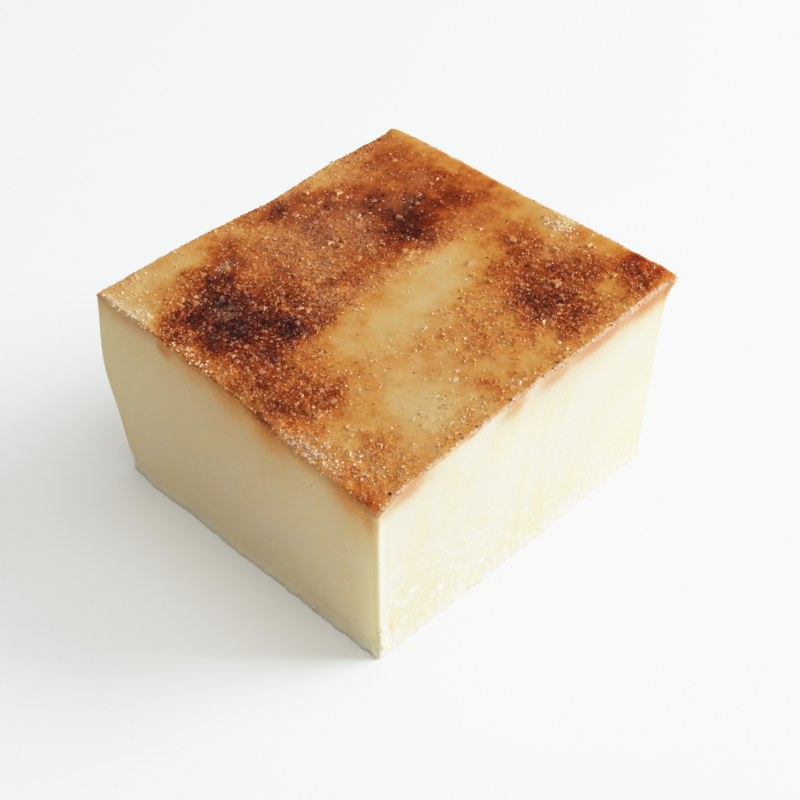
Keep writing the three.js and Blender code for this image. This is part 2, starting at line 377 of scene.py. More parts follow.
    hazy: tuple[Mark, ...] = (
        Mark(-0.5, 13.8, 2.6, 3, 0.36), Mark(4, 13, 3, 2.2, 0.36), Mark(7.2, 14.4, 1.5, 0.9, 0.7),
        Mark(7.5, 12, 1.1, 1.8, 0.5), Mark(-11.8, 18.3, 1.5, 0.7, 0.6), Mark(26.5, -8.4, 1.8, 1.8, 1.0),
        Mark(22, -11, 2.5, 1.8, 0.3), Mark(-27.2, -13.5, 0.9, 5.5, 0.9), Mark(-27, 20, 1, 4, 0.7),
        Mark(-18, 11, 1.2, 0.8, 0.5), Mark(15, 12.5, 3, 2, 0.2), Mark(-3, 17, 3, 4, 0.42),
        Mark(-3, 10, 3, 3, 0.4), Mark(5, 9.6, 2.4, 2.2, 0.36), Mark(6, 1.6, 11, 1.4, 0.3),
        Mark(12, 25, 9, 1.8, 0.58), Mark(13, 21.8, 2.6, 2, 0.34), Mark(-7, 24, 3, 2.4, 0.3),
        Mark(21, 13.8, 2, 2, 0.26), Mark(-27.4, 23.5, 1.4, 3, 0.7), Mark(-24, 24.6, 5, 2, 0.4),
        Mark(-7, 4, 2.4, 2.4, 0.3), Mark(2, 15, 9, 6, 0.26), Mark(2, 25, 22, 1.8, 0.3),
        Mark(16, 20, 6, 4, 0.12), Mark(-2, -14, 9, 5, 0.08),
    )
    gritty: tuple[Mark, ...] = (
        Mark(-24, -21.5, 5.5, 5.5, 0.72), Mark(-25.5, -12, 2.5, 8, 0.8), Mark(0, -25.2, 27, 1.2, 0.55),
        Mark(4, -14, 7, 6, 0.4), Mark(-13, -10, 6, 4, 0.25), Mark(-9, -22, 7, 3, 0.3),
        Mark(-24, 8, 4, 9, 0.8),
    )

    def warped(self, x: np.ndarray, y: np.ndarray) -> tuple[np.ndarray, np.ndarray]:
        """Places moved a little, so that the marks get ragged edges.

        Args:
            x: Places along X, in mm.
            y: Places along Y, in mm.

        Returns:
            The moved places along X and Y.
        """
        places = flat(x, y)
        turned = places[:, [1, 0, 2]] + self.warp_offset
        return x + layered(self.warps, places), y + layered(self.warps, turned)

    @cached_property
    def scorch_map(self) -> SoftMap:
        """The scorched marks, softened."""
        return SoftMap.of_marks(self.scorched, self.base, self.softness)

    @cached_property
    def pale_map(self) -> SoftMap:
        """The pale marks, softened."""
        return SoftMap.of_marks(self.pale, 0, self.softness)

    def burn(self, x: np.ndarray, y: np.ndarray) -> np.ndarray:
        """How far the sugar has browned at each place, from 0, pale, to 1, black.

        Args:
            x: Places along X, in mm.
            y: Places along Y, in mm.

        Returns:
            One value for each place.
        """
        warped_x, warped_y = self.warped(x, y)
        pale = np.clip(self.pale_map.at(warped_x, warped_y), 0, 1)
        burn = self.scorch_map.at(warped_x, warped_y) * (1 - self.pale_share * pale)
        burn = np.maximum(burn + sum(mark.at(warped_x, warped_y) for mark in self.touches), 0)
        mottle = layered(self.mottles, flat(x, y))
        return np.clip(burn + mottle * (self.mottle_floor + burn) * self.mottle_gain, 0, 1)

    def haze(self, x: np.ndarray, y: np.ndarray) -> np.ndarray:
        """How much unmelted whitish sugar covers each place, from 0 to 1."""
        return np.clip(union(self.hazy, *self.warped(x, y)), 0, 1)

    def graininess(self, x: np.ndarray, y: np.ndarray) -> np.ndarray:
        """How sandy the top is: smooth where it is pale or melted flat, rough where sugar lies.

        Args:
            x: Places along X, in mm.
            y: Places along Y, in mm.

        Returns:
            One value for each place.
        """
        left_rough = 1 - self.melted_share * smoothstep(x + y, *self.melted)
        grit = union(self.gritty, *self.warped(x, y))
        sandy = np.maximum(smoothstep(self.burn(x, y), *self.sandy) * left_rough, grit)
        return np.clip(sandy + self.haze_grit * self.haze(x, y), self.least_grit, 1)


# Node layout

UNSTRETCHED = (1, 1, 1)


def screen_colour(code: str) -> Colour:
    """Linear colour of a six-digit screen colour.

    Args:
        code: The screen colour, as on a web page.

    Returns:
        Red, green, blue and full cover.
    """
    channels = [int(code[place:place + 2], 16) / 255 for place in (0, 2, 4)]
    linear = [c / 12.92 if c <= 0.04045 else ((c + 0.055) / 1.055) ** 2.4 for c in channels]
    return (*linear, 1.0)


class NodeSheet:
    """Lays out the nodes of one material or node group."""

    def __init__(self, tree: bpy.types.NodeTree) -> None:
        """Starts on an empty tree."""
        self.tree = tree
        tree.nodes.clear()

    def feed(self, node: bpy.types.Node, feeds: Feeds) -> bpy.types.Node:
        """Feeds some inputs of a node.

        Args:
            node: The node.
            feeds: What goes into each input, by its name or number: a link or a plain value.

        Returns:
            The node.
        """
        for name, value in feeds.items():
            if isinstance(value, bpy.types.NodeSocket):
                self.tree.links.new(value, node.inputs[name])
            else:
                node.inputs[name].default_value = value
        return node

    def add(self, kind: str, feeds: Feeds, **settings: object) -> bpy.types.Node:
        """Adds one node.

        Args:
            kind: The node's type, without the words that every shader node's type starts with.
            feeds: What goes into each input, by its name or number.
            settings: The node's own choices.

        Returns:
            The node.
        """
        node = self.tree.nodes.new(f"ShaderNode{kind}")
        for name, value in settings.items():
            setattr(node, name, value)
        return self.feed(node, feeds)

    def math(self, operation: str, *values: Feed) -> bpy.types.NodeSocket:
        """Output of one sum on one to three values."""
        return self.add("Math", dict(enumerate(values)), operation=operation).outputs[0]

    def less(self, value: Feed, amount: float = 0.5) -> bpy.types.NodeSocket:
        """A value made smaller by an amount."""
        return self.math("SUBTRACT", value, amount)

    def rescale(self, value: Feed, low: float, high: float) -> bpy.types.NodeSocket:
        """A value from 0 to 1 spread over another range."""
        return self.add("MapRange", {0: value, 3: low, 4: high}).outputs[0]

    def mix(self, share: Feed, first: Feed, second: Feed, blend: str = "MIX") -> bpy.types.NodeSocket:
        """One colour laid over another by a share."""
        node = self.add("Mix", {0: share, 6: first, 7: second}, data_type="RGBA", blend_type=blend)
        return node.outputs[2]

    def cover(self, colour: Feed, share: Feed, code: str) -> bpy.types.NodeSocket:
        """A screen colour laid over a colour by a share."""
        return self.mix(share, colour, screen_colour(code))

    def place(self) -> bpy.types.NodeSocket:
        """Coordinates fixed to the piece."""
        return self.add("TexCoord", {}).outputs["Object"]

    def noise(
        self, size: float, detail: float = 2.0, stretch: tuple = UNSTRETCHED, turn: float = 0.0
    ) -> bpy.types.NodeSocket:
        """Noise fixed to the piece.

        Args:
            size: How far apart its bumps are, in mm.
            detail: How much finer noise is added.
            stretch: Scale along each axis, with small numbers for long streaks.
            turn: Turn of the streaks about X and Y, in degrees.

        Returns:
            The noise, about 0.5 on average.
        """
        place = self.place()
        if stretch != UNSTRETCHED:
            angle = math.radians(turn)
            place = self.add("Mapping", {0: place, 2: (angle, angle, 0)}).outputs[0]
            place = self.add("Mapping", {0: place, 3: stretch}).outputs[0]
        feeds = {"Vector": place, "Scale": 1 / (size * MM), "Detail": detail}
        return self.add("TexNoise", feeds).outputs["Fac"]

    def bump(self, strength: float, depth: float, height: Feed) -> bpy.types.NodeSocket:
        """Normal of a surface whose relief is a given depth in mm."""
        feeds = {"Strength": strength, "Distance": depth * MM, "Height": height}
        return self.add("Bump", feeds).outputs[0]

    def attribute(self, name: str) -> bpy.types.NodeSocket:
        """A value painted on the piece's points."""
        return self.add("Attribute", {}, attribute_name=name).outputs["Fac"]

    def patchy(self, name: str, noise: Feed, span: Span) -> bpy.types.NodeSocket:
        """A painted value made patchy by a noise, which is spread over a span first."""
        return self.math("MULTIPLY", self.attribute(name), self.rescale(noise, *span))

    def ramp(self, value: Feed, stops: Stops) -> bpy.types.NodeSocket:
        """Colour found along a row of screen colours.

        Args:
            value: Where to look, from 0 to 1.
            stops: Places along the row, with the colour at each.

        Returns:
            The colour output.
        """
        node = self.add("ValToRGB", {0: value})
        elements = node.color_ramp.elements
        while len(elements) < len(stops):
            elements.new(1.0)
        for element, (place, code) in zip(elements, stops):
            element.position = place
            element.color = screen_colour(code)
        return node.outputs[0]


def new_group(
    name: str, inputs: tuple[str, ...], outputs: dict[str, str]
) -> tuple[NodeSheet, bpy.types.Node, bpy.types.Node]:
    """Starts a shader node group.

    Args:
        name: The group's name.
        inputs: Names of its number inputs.
        outputs: Its outputs, as name and socket type.

    Returns:
        The sheet to lay its nodes on, its input node and its output node.
    """
    tree = bpy.data.node_groups.new(name, "ShaderNodeTree")
    for socket in inputs:
        tree.interface.new_socket(name=socket, in_out="INPUT", socket_type="NodeSocketFloat")
    for socket, kind in outputs.items():
        tree.interface.new_socket(name=socket, in_out="OUTPUT", socket_type=kind)
    sheet = NodeSheet(tree)
    return sheet, tree.nodes.new("NodeGroupInput"), tree.nodes.new("NodeGroupOutput")


def new_material(name: str) -> tuple[bpy.types.Material, NodeSheet, bpy.types.Node]:
    """Starts a material with one Principled shader.

    Args:
        name: The material's name.

    Returns:
        The material, the sheet to lay its nodes on and the shader node.
    """
    material = bpy.data.materials.new(name)
    material.use_nodes = True
    sheet = NodeSheet(material.node_tree)
    shader = sheet.add("BsdfPrincipled", {})
    sheet.add("OutputMaterial", {"Surface": shader.outputs[0]})
    return material, sheet, shader


# Finishes

@dataclass(frozen=True)
class CaramelShades:
    """Shades that torched sugar passes through, from bare to burnt, with its fine speckle."""

    stops: Stops = (
        (0.0, "b59b78"), (0.12, "b4905f"), (0.25, "b07b3f"), (0.38, "9e5a27"), (0.5, "893f15"),
        (0.62, "762e0f"), (0.75, "60200b"), (0.88, "481409"), (1.0, "310e0a"),
    )
    fine_size: float = 0.28
    fine_detail: float = 1.0
    coarse_size: float = 0.9
    coarse_share: float = 0.5
    spread: float = 0.8
    roughness: Span = (0.3, 0.55)

    def group(self) -> bpy.types.NodeTree:
        """Node group that turns a browning value into a colour, a roughness and a height.

        Returns:
            The group.
        """
        outputs = {"Color": "NodeSocketColor", "Roughness": "NodeSocketFloat", "Height": "NodeSocketFloat"}
        sheet, given, result = new_group("caramel_shades", ("Burn", "Speckle"), outputs)
        speckle = given.outputs["Speckle"]
        fine = sheet.noise(self.fine_size, self.fine_detail)
        coarse = sheet.noise(self.coarse_size)
        both = sheet.math("MULTIPLY_ADD", sheet.less(coarse), self.coarse_share, sheet.less(fine))
        shift = sheet.math("MULTIPLY", sheet.math("MULTIPLY", both, self.spread), speckle)
        browned = sheet.math("ADD", given.outputs["Burn"], shift)
        height = sheet.math("MULTIPLY_ADD", coarse, self.coarse_share, fine)
        sheet.feed(result, {
            "Color": sheet.ramp(browned, self.stops),
            "Roughness": sheet.rescale(fine, *self.roughness),
            "Height": sheet.math("MULTIPLY", height, speckle),
        })
        return sheet.tree


@dataclass(frozen=True)
class CrustFinish:
    """Torched sugar skin of the top: a slightly clear caramel with a sandy surface. Lengths are in mm."""

    haze: str = "c4a67e"
    haze_size: float = 0.5
    haze_patches: Span = (-0.3, 1.3)
    frost: str = "c4937a"
    # Multiplies the top's colour: painted light on the rolled left edge, and redder caramel at the right
    # corner.
    gleam: Colour = (1.55, 1.22, 0.85, 1.0)
    bump_strength: float = 0.5
    bump_depth: float = 0.22
    shine: float = 0.2
    soak: float = 0.4
    soak_colour: tuple[float, float, float] = (1.0, 0.6, 0.35)
    soak_depth: float = 0.6

    def make(self, shades: bpy.types.NodeTree) -> bpy.types.Material:
        """The material, coloured by the top's painted browning.

        Args:
            shades: The node group of caramel shades.

        Returns:
            The material.
        """
        material, sheet, shader = new_material("torched_crust")
        feeds = {"Burn": sheet.attribute("burn"), "Speckle": sheet.attribute("sandy")}
        caramel = sheet.add("Group", feeds, node_tree=shades)
        hazed = sheet.patchy("haze", sheet.noise(self.haze_size), self.haze_patches)
        colour = sheet.cover(caramel.outputs["Color"], hazed, self.haze)
        colour = sheet.cover(colour, sheet.attribute("frost"), self.frost)
        # Painted light on the rolled left edge, and redder caramel at the right corner.
        colour = sheet.mix(sheet.attribute("gleam"), colour, self.gleam, "MULTIPLY")
        sheet.feed(shader, {
            "Base Color": colour, "Roughness": caramel.outputs["Roughness"],
            "Normal": sheet.bump(self.bump_strength, self.bump_depth, caramel.outputs["Height"]),
            "IOR": FUDGE_IOR, "Specular IOR Level": self.shine, "Subsurface Weight": self.soak,
            "Subsurface Radius": self.soak_colour, "Subsurface Scale": self.soak_depth * MM,
        })
        return material


@dataclass(frozen=True)
class FudgeFinish:
    """Cut fudge: soft, waxy cream that light soaks into, with caramel bleeding down from the top.

    Lengths are in mm.
    """

    name: str = "cut_fudge"
    cream: str = "decdb3"
    warm: str = "e0c48e"
    # Colour of white flecks, crumbs and chunks, also used for painted light on shaded sides and a painted
    # highlight line.
    fleck: str = "fbf0da"
    # Colour of the painted glow: light shining through the fudge into its shaded sides.
    glow: str = "f6e4a8"
    amber: str = "e2b45c"
    orange: str = "e09440"
    peach: str = "b46e40"
    frost: str = "c48c6e"
    detail: float = 3.0
    cloud_size: float = 7.0
    cloud_middle: float = 0.42
    cloud_gain: float = 1.7
    grain_size: float = 0.5
    streak_size: float = 1.8
    streak_stretch: tuple[float, float, float] = (1, 1, 0.12)
    streak_gain: float = 1.1
    dot_spacing: float = 1.3
    dot_reach: float = 0.95
    dot_strength: float = 1.5
    dot_wobble: float = 0.5
    dot_wobble_size: float = 0.8
    bleed_patches: Span = (0.75, 1.25)
    skin_speckle: float = 0.4
    frost_size: float = 0.7
    frost_patches: Span = (0.1, 1.5)
    smear_size: float = 1.3
    smear_stretch: tuple[float, float, float] = (0.45, 0.45, 1.5)
    smear_turn: float = 30.0
    dot_height: float = 0.5
    grain_height: float = 0.4
    bump_strength: float = 0.4
    bump_depth: float = 0.14
    roughness: Span = (0.4, 0.6)
    soak: float = 0.8
    soak_colour: tuple[float, float, float] = (1.0, 0.85, 0.4)
    soak_depth: float = 0.45

    def dots(self, sheet: NodeSheet) -> bpy.types.NodeSocket:
        """Soft pale dots, no two of one size.

        Args:
            sheet: Where their nodes go.

        Returns:
            How strong a dot is, from 0 to 1.
        """
        place = sheet.place()
        feeds = {"Vector": place, "Scale": 1 / (self.dot_wobble_size * MM), "Detail": 1.0}
        wobble = sheet.add("TexNoise", feeds).outputs["Color"]
        feeds = {0: wobble, 1: (self.dot_wobble * MM,) * 3, 2: place}
        moved = sheet.add("VectorMath", feeds, operation="MULTIPLY_ADD").outputs[0]
        cells = sheet.add("TexVoronoi", {"Vector": moved, "Scale": 1 / (self.dot_spacing * MM)})
        chance = sheet.add("SeparateColor", {0: cells.outputs["Color"]})
        reach = sheet.math("MULTIPLY", chance.outputs[0], self.dot_reach)
        feeds = {0: cells.outputs["Distance"], 1: 0.0, 2: reach, 3: self.dot_strength, 4: 0.0}
        spot = sheet.add("MapRange", feeds).outputs[0]
        return sheet.math("MULTIPLY", sheet.math("MINIMUM", spot, 1.0), chance.outputs[1])

    def make(self, shades: bpy.types.NodeTree) -> bpy.types.Material:
        """The material, coloured by what is painted on the piece.

        Args:
            shades: The node group of caramel shades.

        Returns:
            The material.
        """
        material, sheet, shader = new_material(self.name)
        cloud = sheet.noise(self.cloud_size, self.detail)
        grain = sheet.noise(self.grain_size, self.detail)
        streak = sheet.less(sheet.noise(self.streak_size, stretch=self.streak_stretch))
        cloudy = sheet.less(cloud, self.cloud_middle)
        # Warmth: the cream's own uneven tone, and on the shaded left side painted shade.
        warmth = sheet.math("MULTIPLY_ADD", cloudy, self.cloud_gain, sheet.attribute("warm"))
        warmth = sheet.math("MULTIPLY_ADD", streak, self.streak_gain, warmth)
        colour = sheet.cover(screen_colour(self.cream), warmth, self.warm)
        # Painted glow of light through the fudge, and lighter, yellower patches.
        colour = sheet.cover(colour, sheet.attribute("glow"), self.glow)
        spots = sheet.math("MULTIPLY", self.dots(sheet), sheet.attribute("flecked"))
        # White flecks, crumbs and chunks, with painted light on the shaded sides and a painted highlight
        # line by the near corner.
        colour = sheet.cover(colour, sheet.math("MAXIMUM", spots, sheet.attribute("white")), self.fleck)
        colour = sheet.cover(colour, sheet.attribute("peach"), self.peach)
        bleed = sheet.patchy("bleed", grain, self.bleed_patches)
        colour = sheet.mix(bleed, colour, sheet.cover(screen_colour(self.amber), bleed, self.orange))
        feeds = {"Burn": sheet.attribute("burn"), "Speckle": self.skin_speckle}
        caramel = sheet.add("Group", feeds, node_tree=shades)
        colour = sheet.mix(sheet.attribute("skin"), colour, caramel.outputs["Color"])
        frosted = sheet.patchy("frost", sheet.noise(self.frost_size), self.frost_patches)
        colour = sheet.cover(colour, frosted, self.frost)
        smear = sheet.noise(self.smear_size, self.detail, self.smear_stretch, self.smear_turn)
        height = sheet.math("MULTIPLY_ADD", spots, self.dot_height, smear)
        height = sheet.math("MULTIPLY_ADD", grain, self.grain_height, height)
        sheet.feed(shader, {
            "Base Color": colour, "Roughness": sheet.rescale(cloud, *self.roughness),
            "Normal": sheet.bump(self.bump_strength, self.bump_depth, height), "IOR": FUDGE_IOR,
            "Subsurface Weight": self.soak, "Subsurface Radius": self.soak_colour,
            "Subsurface Scale": self.soak_depth * MM,
        })
        return material


@dataclass(frozen=True)
class SugarFinish:
    """Loose sugar grains: glassy bricks, clear or tinted by the caramel they lie in."""

    name: str
    stops: Stops
    solidity: float
    gloss: float
    shine: float
    veil_size: float = 0.25
    veil: float = 0.2

    def make(self) -> bpy.types.Material:
        """The material, tinted grain by grain from the painted browning.

        Returns:
            The material.
        """
        material, sheet, shader = new_material(self.name)
        veil = sheet.noise(self.veil_size)
        sheet.feed(shader, {
            "Base Color": sheet.ramp(sheet.attribute("burn"), self.stops),
            "Roughness": sheet.rescale(veil, self.gloss, self.gloss + self.veil),
            "IOR": SUGAR_IOR, "Specular IOR Level": self.shine, "Alpha": self.solidity,
        })
        return material


CLEAR_STOPS = ((0.0, "e8ccb0"), (0.2, "dc9c5a"), (0.45, "cc8e64"), (0.75, "98604e"), (1.0, "603836"))
BURNT_STOPS = ((0.0, "7a3a18"), (0.5, "4c1808"), (1.0, "2c0a06"))
RIM_STOPS = ((0.0, "f0dccc"), (0.3, "dfbca0"), (0.65, "cc9a7a"), (1.0, "a87048"))
CLEAR_SUGAR = SugarFinish("clear_sugar", CLEAR_STOPS, solidity=0.54, gloss=0.12, shine=0.44)
AMBER_SUGAR = SugarFinish("amber_sugar", CaramelShades.stops, solidity=0.7, gloss=0.2, shine=0.2)
BURNT_SUGAR = SugarFinish("burnt_sugar", BURNT_STOPS, solidity=1.0, gloss=0.15, shine=0.3)
RIM_SUGAR = SugarFinish("rim_sugar", RIM_STOPS, solidity=0.75, gloss=0.2, shine=0.35)


# Meshes

def only(parts: list, kind: type) -> list:
    """Those parts of an operator's result that are of one kind."""
    return [part for part in parts if isinstance(part, kind)]


def paint(mesh: bpy.types.Mesh, name: str, values: np.ndarray) -> None:
    """Stores one number on each point of a mesh, for its material to read."""
    layer = mesh.attributes.new(name, "FLOAT", "POINT")
    layer.data.foreach_set("value", values.astype(np.float32))


def into_scene(name: str, data: bpy.types.ID) -> bpy.types.Object:
    """Puts a mesh, a light or a camera in the scene as an object.

    Args:
        name: The object's name.
        data: The mesh, light or camera.

    Returns:
        The object.
    """
    thing = bpy.data.objects.new(name, data)
    bpy.context.scene.collection.objects.link(thing)
    return thing


def new_piece(
    name: str, mesh: bpy.types.Mesh, slot: Slot, *materials: bpy.types.Material
) -> bpy.types.Object:
    """Puts a finished mesh in the scene, on the block's body.

    Args:
        name: The piece's name.
        mesh: Its mesh, in metres and in place.
        slot: The record's slot that its finish belongs to. It is not used.
        materials: Its materials, in the order of its faces' numbers.

    Returns:
        The object.
    """
    piece = into_scene(name, mesh)
    for material in materials:
        mesh.materials.append(material)
    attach(piece, BODY)
    LOG.info("%s: %d faces", name, len(mesh.polygons))
    return piece


@dataclass(frozen=True)
class SideStain:
    """How one cut side is marked. Lengths are in mm and strengths go from 0 to 1.

    A mark's middle is its place along the side and its depth below the edge of the top, but the strength of
    a rim is how thick the sugar shows there. A speck is given by its place along the side, its height and
    its size.
    """

    side: Side
    # Warmth of the cream at mid height and at the foot: the fudge's own tone, and on the shaded left side
    # mostly painted shade.
    warm: float
    foot_warm: float
    # Painted light that lightens a shaded side, most of all toward its foot.
    painted_fill: float
    flecks: float
    rims: tuple[Mark, ...]
    peaches: tuple[Mark, ...]
    bleeds: tuple[Mark, ...]
    specks: tuple[tuple[float, float, float], ...]


# The left side lies in shade: its strong warmth is painted shade and its lightening is painted light.
LEFT_STAIN = SideStain(
    Side.LEFT, warm=0.78, foot_warm=0.9, painted_fill=0.62, flecks=0.8,
    rims=(),
    peaches=(),
    bleeds=(
        Mark(20, 0, 9, 2.4, 0.7), Mark(12, 1.2, 1.6, 1.6, 1.0), Mark(7, 0, 6, 3.6, 0.8),
        Mark(0, 0, 6, 4.2, 0.9), Mark(-7, 0, 5, 4.6, 1.0), Mark(-14, 0, 6, 2.8, 0.8),
        Mark(-21.5, 0, 5, 4.4, 1.0), Mark(-25, 2, 2, 3.6, 0.85), Mark(-5.5, 8, 0.5, 4.5, 0.3),
        Mark(-3, 0, 13, 8, 0.5), Mark(0, 0, 32, 7, 0.36), Mark(-23, 0, 6, 8, 0.55),
    ),
    specks=((-15, 24, 0.12), (-20.5, 16.5, 0.12), (8, 25, 0.11), (-22, 4.5, 0.12), (15, 12, 0.1)),
)
NEAR_STAIN = SideStain(
    Side.NEAR, warm=0.0, foot_warm=0.2, painted_fill=0.0, flecks=0.7,
    rims=(
        Mark(20, 0, 9, 1, 0.85), Mark(7, 0, 7, 1, 0.6), Mark(-5, 0, 6, 1, 0.42),
        Mark(-15, 0, 7, 1, 0.3), Mark(-25, 0, 4, 1, 0.46),
    ),
    peaches=(
        Mark(23, 1.4, 7, 2.2, 1.0), Mark(13, 1.2, 8, 2.0, 0.95), Mark(4, 1.5, 4, 2.1, 0.85),
        Mark(17, 1.2, 14, 1.8, 0.85), Mark(-3.6, 1.4, 2.8, 2.0, 0.8), Mark(-14, 0.5, 6, 1.0, 0.3),
        Mark(-23, 1.3, 4.4, 1.9, 0.85), Mark(8, 1.0, 8, 1.5, 0.7), Mark(21, 9, 5, 6, 0.06),
        Mark(13, 1.8, 17, 3.4, 0.42), Mark(-20, 1.8, 6, 2.6, 0.24),
    ),
    bleeds=(Mark(-25.1, 26.2, 0.45, 2.0, 0.6), Mark(26.5, 8, 1.2, 9, 0.12)),
    specks=((-22.3, 11, 0.14), (-26, 14.5, 0.12), (-18, 6, 0.1)),
)
RIGHT_STAIN = SideStain(
    Side.RIGHT, warm=0.1, foot_warm=0.3, painted_fill=0.0, flecks=0.5,
    rims=(Mark(-14, 0, 12, 1, 1.2), Mark(12, 0, 12, 1, 0.8)),
    peaches=(Mark(-16, 1.8, 8, 0.9, 0.8), Mark(2, 1.4, 6, 0.8, 0.6), Mark(17, 1.4, 6, 0.8, 0.7)),
    bleeds=(Mark(-20, 0, 5, 2.0, 0.5), Mark(8, 0, 6, 1.6, 0.4), Mark(20, 0, 4, 2.2, 0.5)),
    specks=((5, 14, 0.13), (-12, 20, 0.12), (17, 8, 0.11)),
)
FAR_STAIN = SideStain(
    Side.FAR, warm=0.2, foot_warm=0.4, painted_fill=0.1, flecks=0.35,
    rims=(Mark(-12, 0, 12, 1, 0.6), Mark(14, 0, 10, 1, 0.5)),
    peaches=(Mark(-10, 1.2, 12, 0.7, 0.4), Mark(14, 1.2, 9, 0.7, 0.5)),
    bleeds=(Mark(-16, 0, 5, 2.4, 0.7), Mark(2, 0, 6, 2.6, 0.8), Mark(18, 0, 7, 2.0, 0.6)),
    specks=((-8, 17, 0.13), (14, 9, 0.12)),
)


@dataclass
class FudgeBlock:
    """The block: a hand-cut cream body under a thin browned crust. All sizes are in mm."""

    marks: TorchMarks
    stains: tuple[SideStain, ...] = (LEFT_STAIN, NEAR_STAIN, RIGHT_STAIN, FAR_STAIN)
    width: float = 55.0
    depth: float = 52.0
    near_height: float = 28.4
    right_height: float = 31.8
    left_height: float = 31.3
    far_height: float = 32.7
    edge_radius: float = 0.55
    columns: int = 220
    rows: int = 208
    levels: int = 46
    gather_across: float = 0.12
    gather_up: float = 0.75
    roll_drop: float = 1.3
    roll_width: float = 4.5
    roll_start: float = 4.0
    roll_full: float = -12.0
    dent_x: float = 3.0
    dent_half_width: float = 4.5
    dent_depth: float = 0.8
    dent_reach: float = 9.0
    belly_out: float = 0.75
    belly_height: float = 19.0
    belly_half_height: float = 6.0
    belly_half_width: float = 8.0
    foot_inset: float = 0.7
    worn_corner: float = 0.45
    worn_half_width: float = 2.5
    worn_half_height: float = 2.2
    lip_out: float = 0.3
    lip_thickness: float = 1.3
    flare_far: float = 1.1
    flare_near: float = 1.6
    flare_rise: float = 6.0
    crumble_out: float = 0.3
    crumble_rise: float = 3.0
    grit_rise: float = 5.0
    grit_full_share: float = 0.3
    smooth_near: float = 0.6
    ragged_start: float = 0.2
    ragged_drop: float = 1.8
    ragged_share: float = 1.2
    side_wave: Wave = Wave(0.22, 15, 3)
    crumble_waves: tuple[Wave, ...] = (Wave(0.16, 3.2, 7), Wave(0.16, 0.95, 8))
    grit_waves: tuple[Wave, ...] = (Wave(0.17, 1.0, 61), Wave(0.13, 0.6, 63))
    swell: Wave = Wave(0.22, 13, 11)
    sand_waves: tuple[Wave, ...] = (Wave(0.26, 2.7, 19), Wave(0.11, 1.1, 21), Wave(0.09, 0.55, 23))
    least_length: float = 1e-9
    least_pull: float = 1e-12
    shift: np.ndarray = field(default_factory=lambda: np.zeros(3))

    @property
    def mean_height(self) -> float:
        """Mean of the four corner heights."""
        return (self.near_height + self.right_height + self.left_height + self.far_height) / 4

    @property
    def half(self) -> np.ndarray:
        """Half of the width and half of the depth."""
        return np.array([self.width, self.depth]) / 2

    def inset(self, x: np.ndarray, y: np.ndarray) -> np.ndarray:
        """How far inside the nearest side each place is."""
        return np.minimum(self.width / 2 - np.abs(x), self.depth / 2 - np.abs(y))

    def top_height(self, x: np.ndarray, y: np.ndarray) -> np.ndarray:
        """Height of the top over each place: four uneven corners and the rolled left edge.

        Args:
            x: Places along X, in mm.
            y: Places along Y, in mm.

        Returns:
            One height for each place.
        """
        right = x / self.width + 0.5
        back = y / self.depth + 0.5
        front_height = self.near_height * (1 - right) + self.right_height * right
        back_height = self.left_height * (1 - right) + self.far_height * right
        rolled = np.clip(1 - (x + self.width / 2) / self.roll_width, 0, 1) ** 2
        along = 1 - smoothstep(y, self.roll_full, self.roll_start)
        return front_height * (1 - back) + back_height * back - self.roll_drop * rolled * along

    def round_edges(self, straight: np.ndarray) -> np.ndarray:
        """The straight block's points with its edges rounded, all but those of the underside.

        Args:
            straight: Points of the straight block.

        Returns:
            The moved points.
        """
        reach = np.array([*self.half, self.mean_height]) - self.edge_radius
        core = np.clip(straight, [-reach[0], -reach[1], -math.inf], reach)
        outward = straight - core
        length = np.linalg.norm(outward, axis=1, keepdims=True)
        scale = self.edge_radius / np.maximum(length, self.least_length)
        return core + outward * np.where(length > 0, scale, 0)

    def outward(self, points: np.ndarray) -> np.ndarray:
        """Level direction in which the side nearest to each point faces.

        Args:
            points: Points of the straight block.

        Returns:
            One direction for each point, or nothing far from the sides.
        """
        pull = np.sign(points[:, :2]) * hump(self.half - np.abs(points[:, :2]), self.edge_radius)
        length = np.linalg.norm(pull, axis=1, keepdims=True)
        return np.where(length > self.least_pull, pull / np.maximum(length, self.least_pull), 0)

    def shape(self, straight: np.ndarray) -> np.ndarray:
        """Gives the straight block its lean, belly, dent, lip, flare, crumbled foot and sandy top.

        Args:
            straight: Points of the straight block.

        Returns:
            The same points on the finished block, before it is set over the frame.
        """
        rounded = self.round_edges(straight)
        x, y, z = rounded.T
        half_x, half_y = self.half
        height = self.top_height(x, y)
        foot_share = 1 - z / self.mean_height
        source = np.stack([x, y, z * height / self.mean_height], axis=1)
        made = source.copy()
        made[:, 0] *= 1 - self.foot_inset / half_x * foot_share
        made[:, 1] *= 1 - self.foot_inset / half_y * foot_share

        from_left_corner = np.hypot(x + half_x, y - half_y)
        belly = hump(from_left_corner, self.belly_half_width)
        belly *= self.belly_out * hump(source[:, 2] - self.belly_height, self.belly_half_height)
        worn = hump(from_left_corner, self.worn_half_width) * hump(source[:, 2], self.worn_half_height)
        belly -= self.worn_corner * worn
        made[:, 0] -= belly
        made[:, 1] += belly
        dent = self.dent_depth * hump(x - self.dent_x, self.dent_half_width)
        dent *= smoothstep(y, half_y - self.dent_reach, half_y)
        made[:, 1] -= dent * (1 - foot_share)

        below_top = height - source[:, 2]
        outward = self.outward(rounded)
        side = 1 - smoothstep(self.inset(x, y), 0, 2 * self.edge_radius)
        made[:, :2] += outward * (self.push(source, below_top, outward) * side)[:, None]
        top_share = 1 - smoothstep(below_top, 0, self.lip_thickness * 2)
        made[:, 2] += self.swell.at(source) * (1 - foot_share)
        made[:, 2] += layered(self.sand_waves, source) * top_share * self.marks.graininess(x, y)
        return made

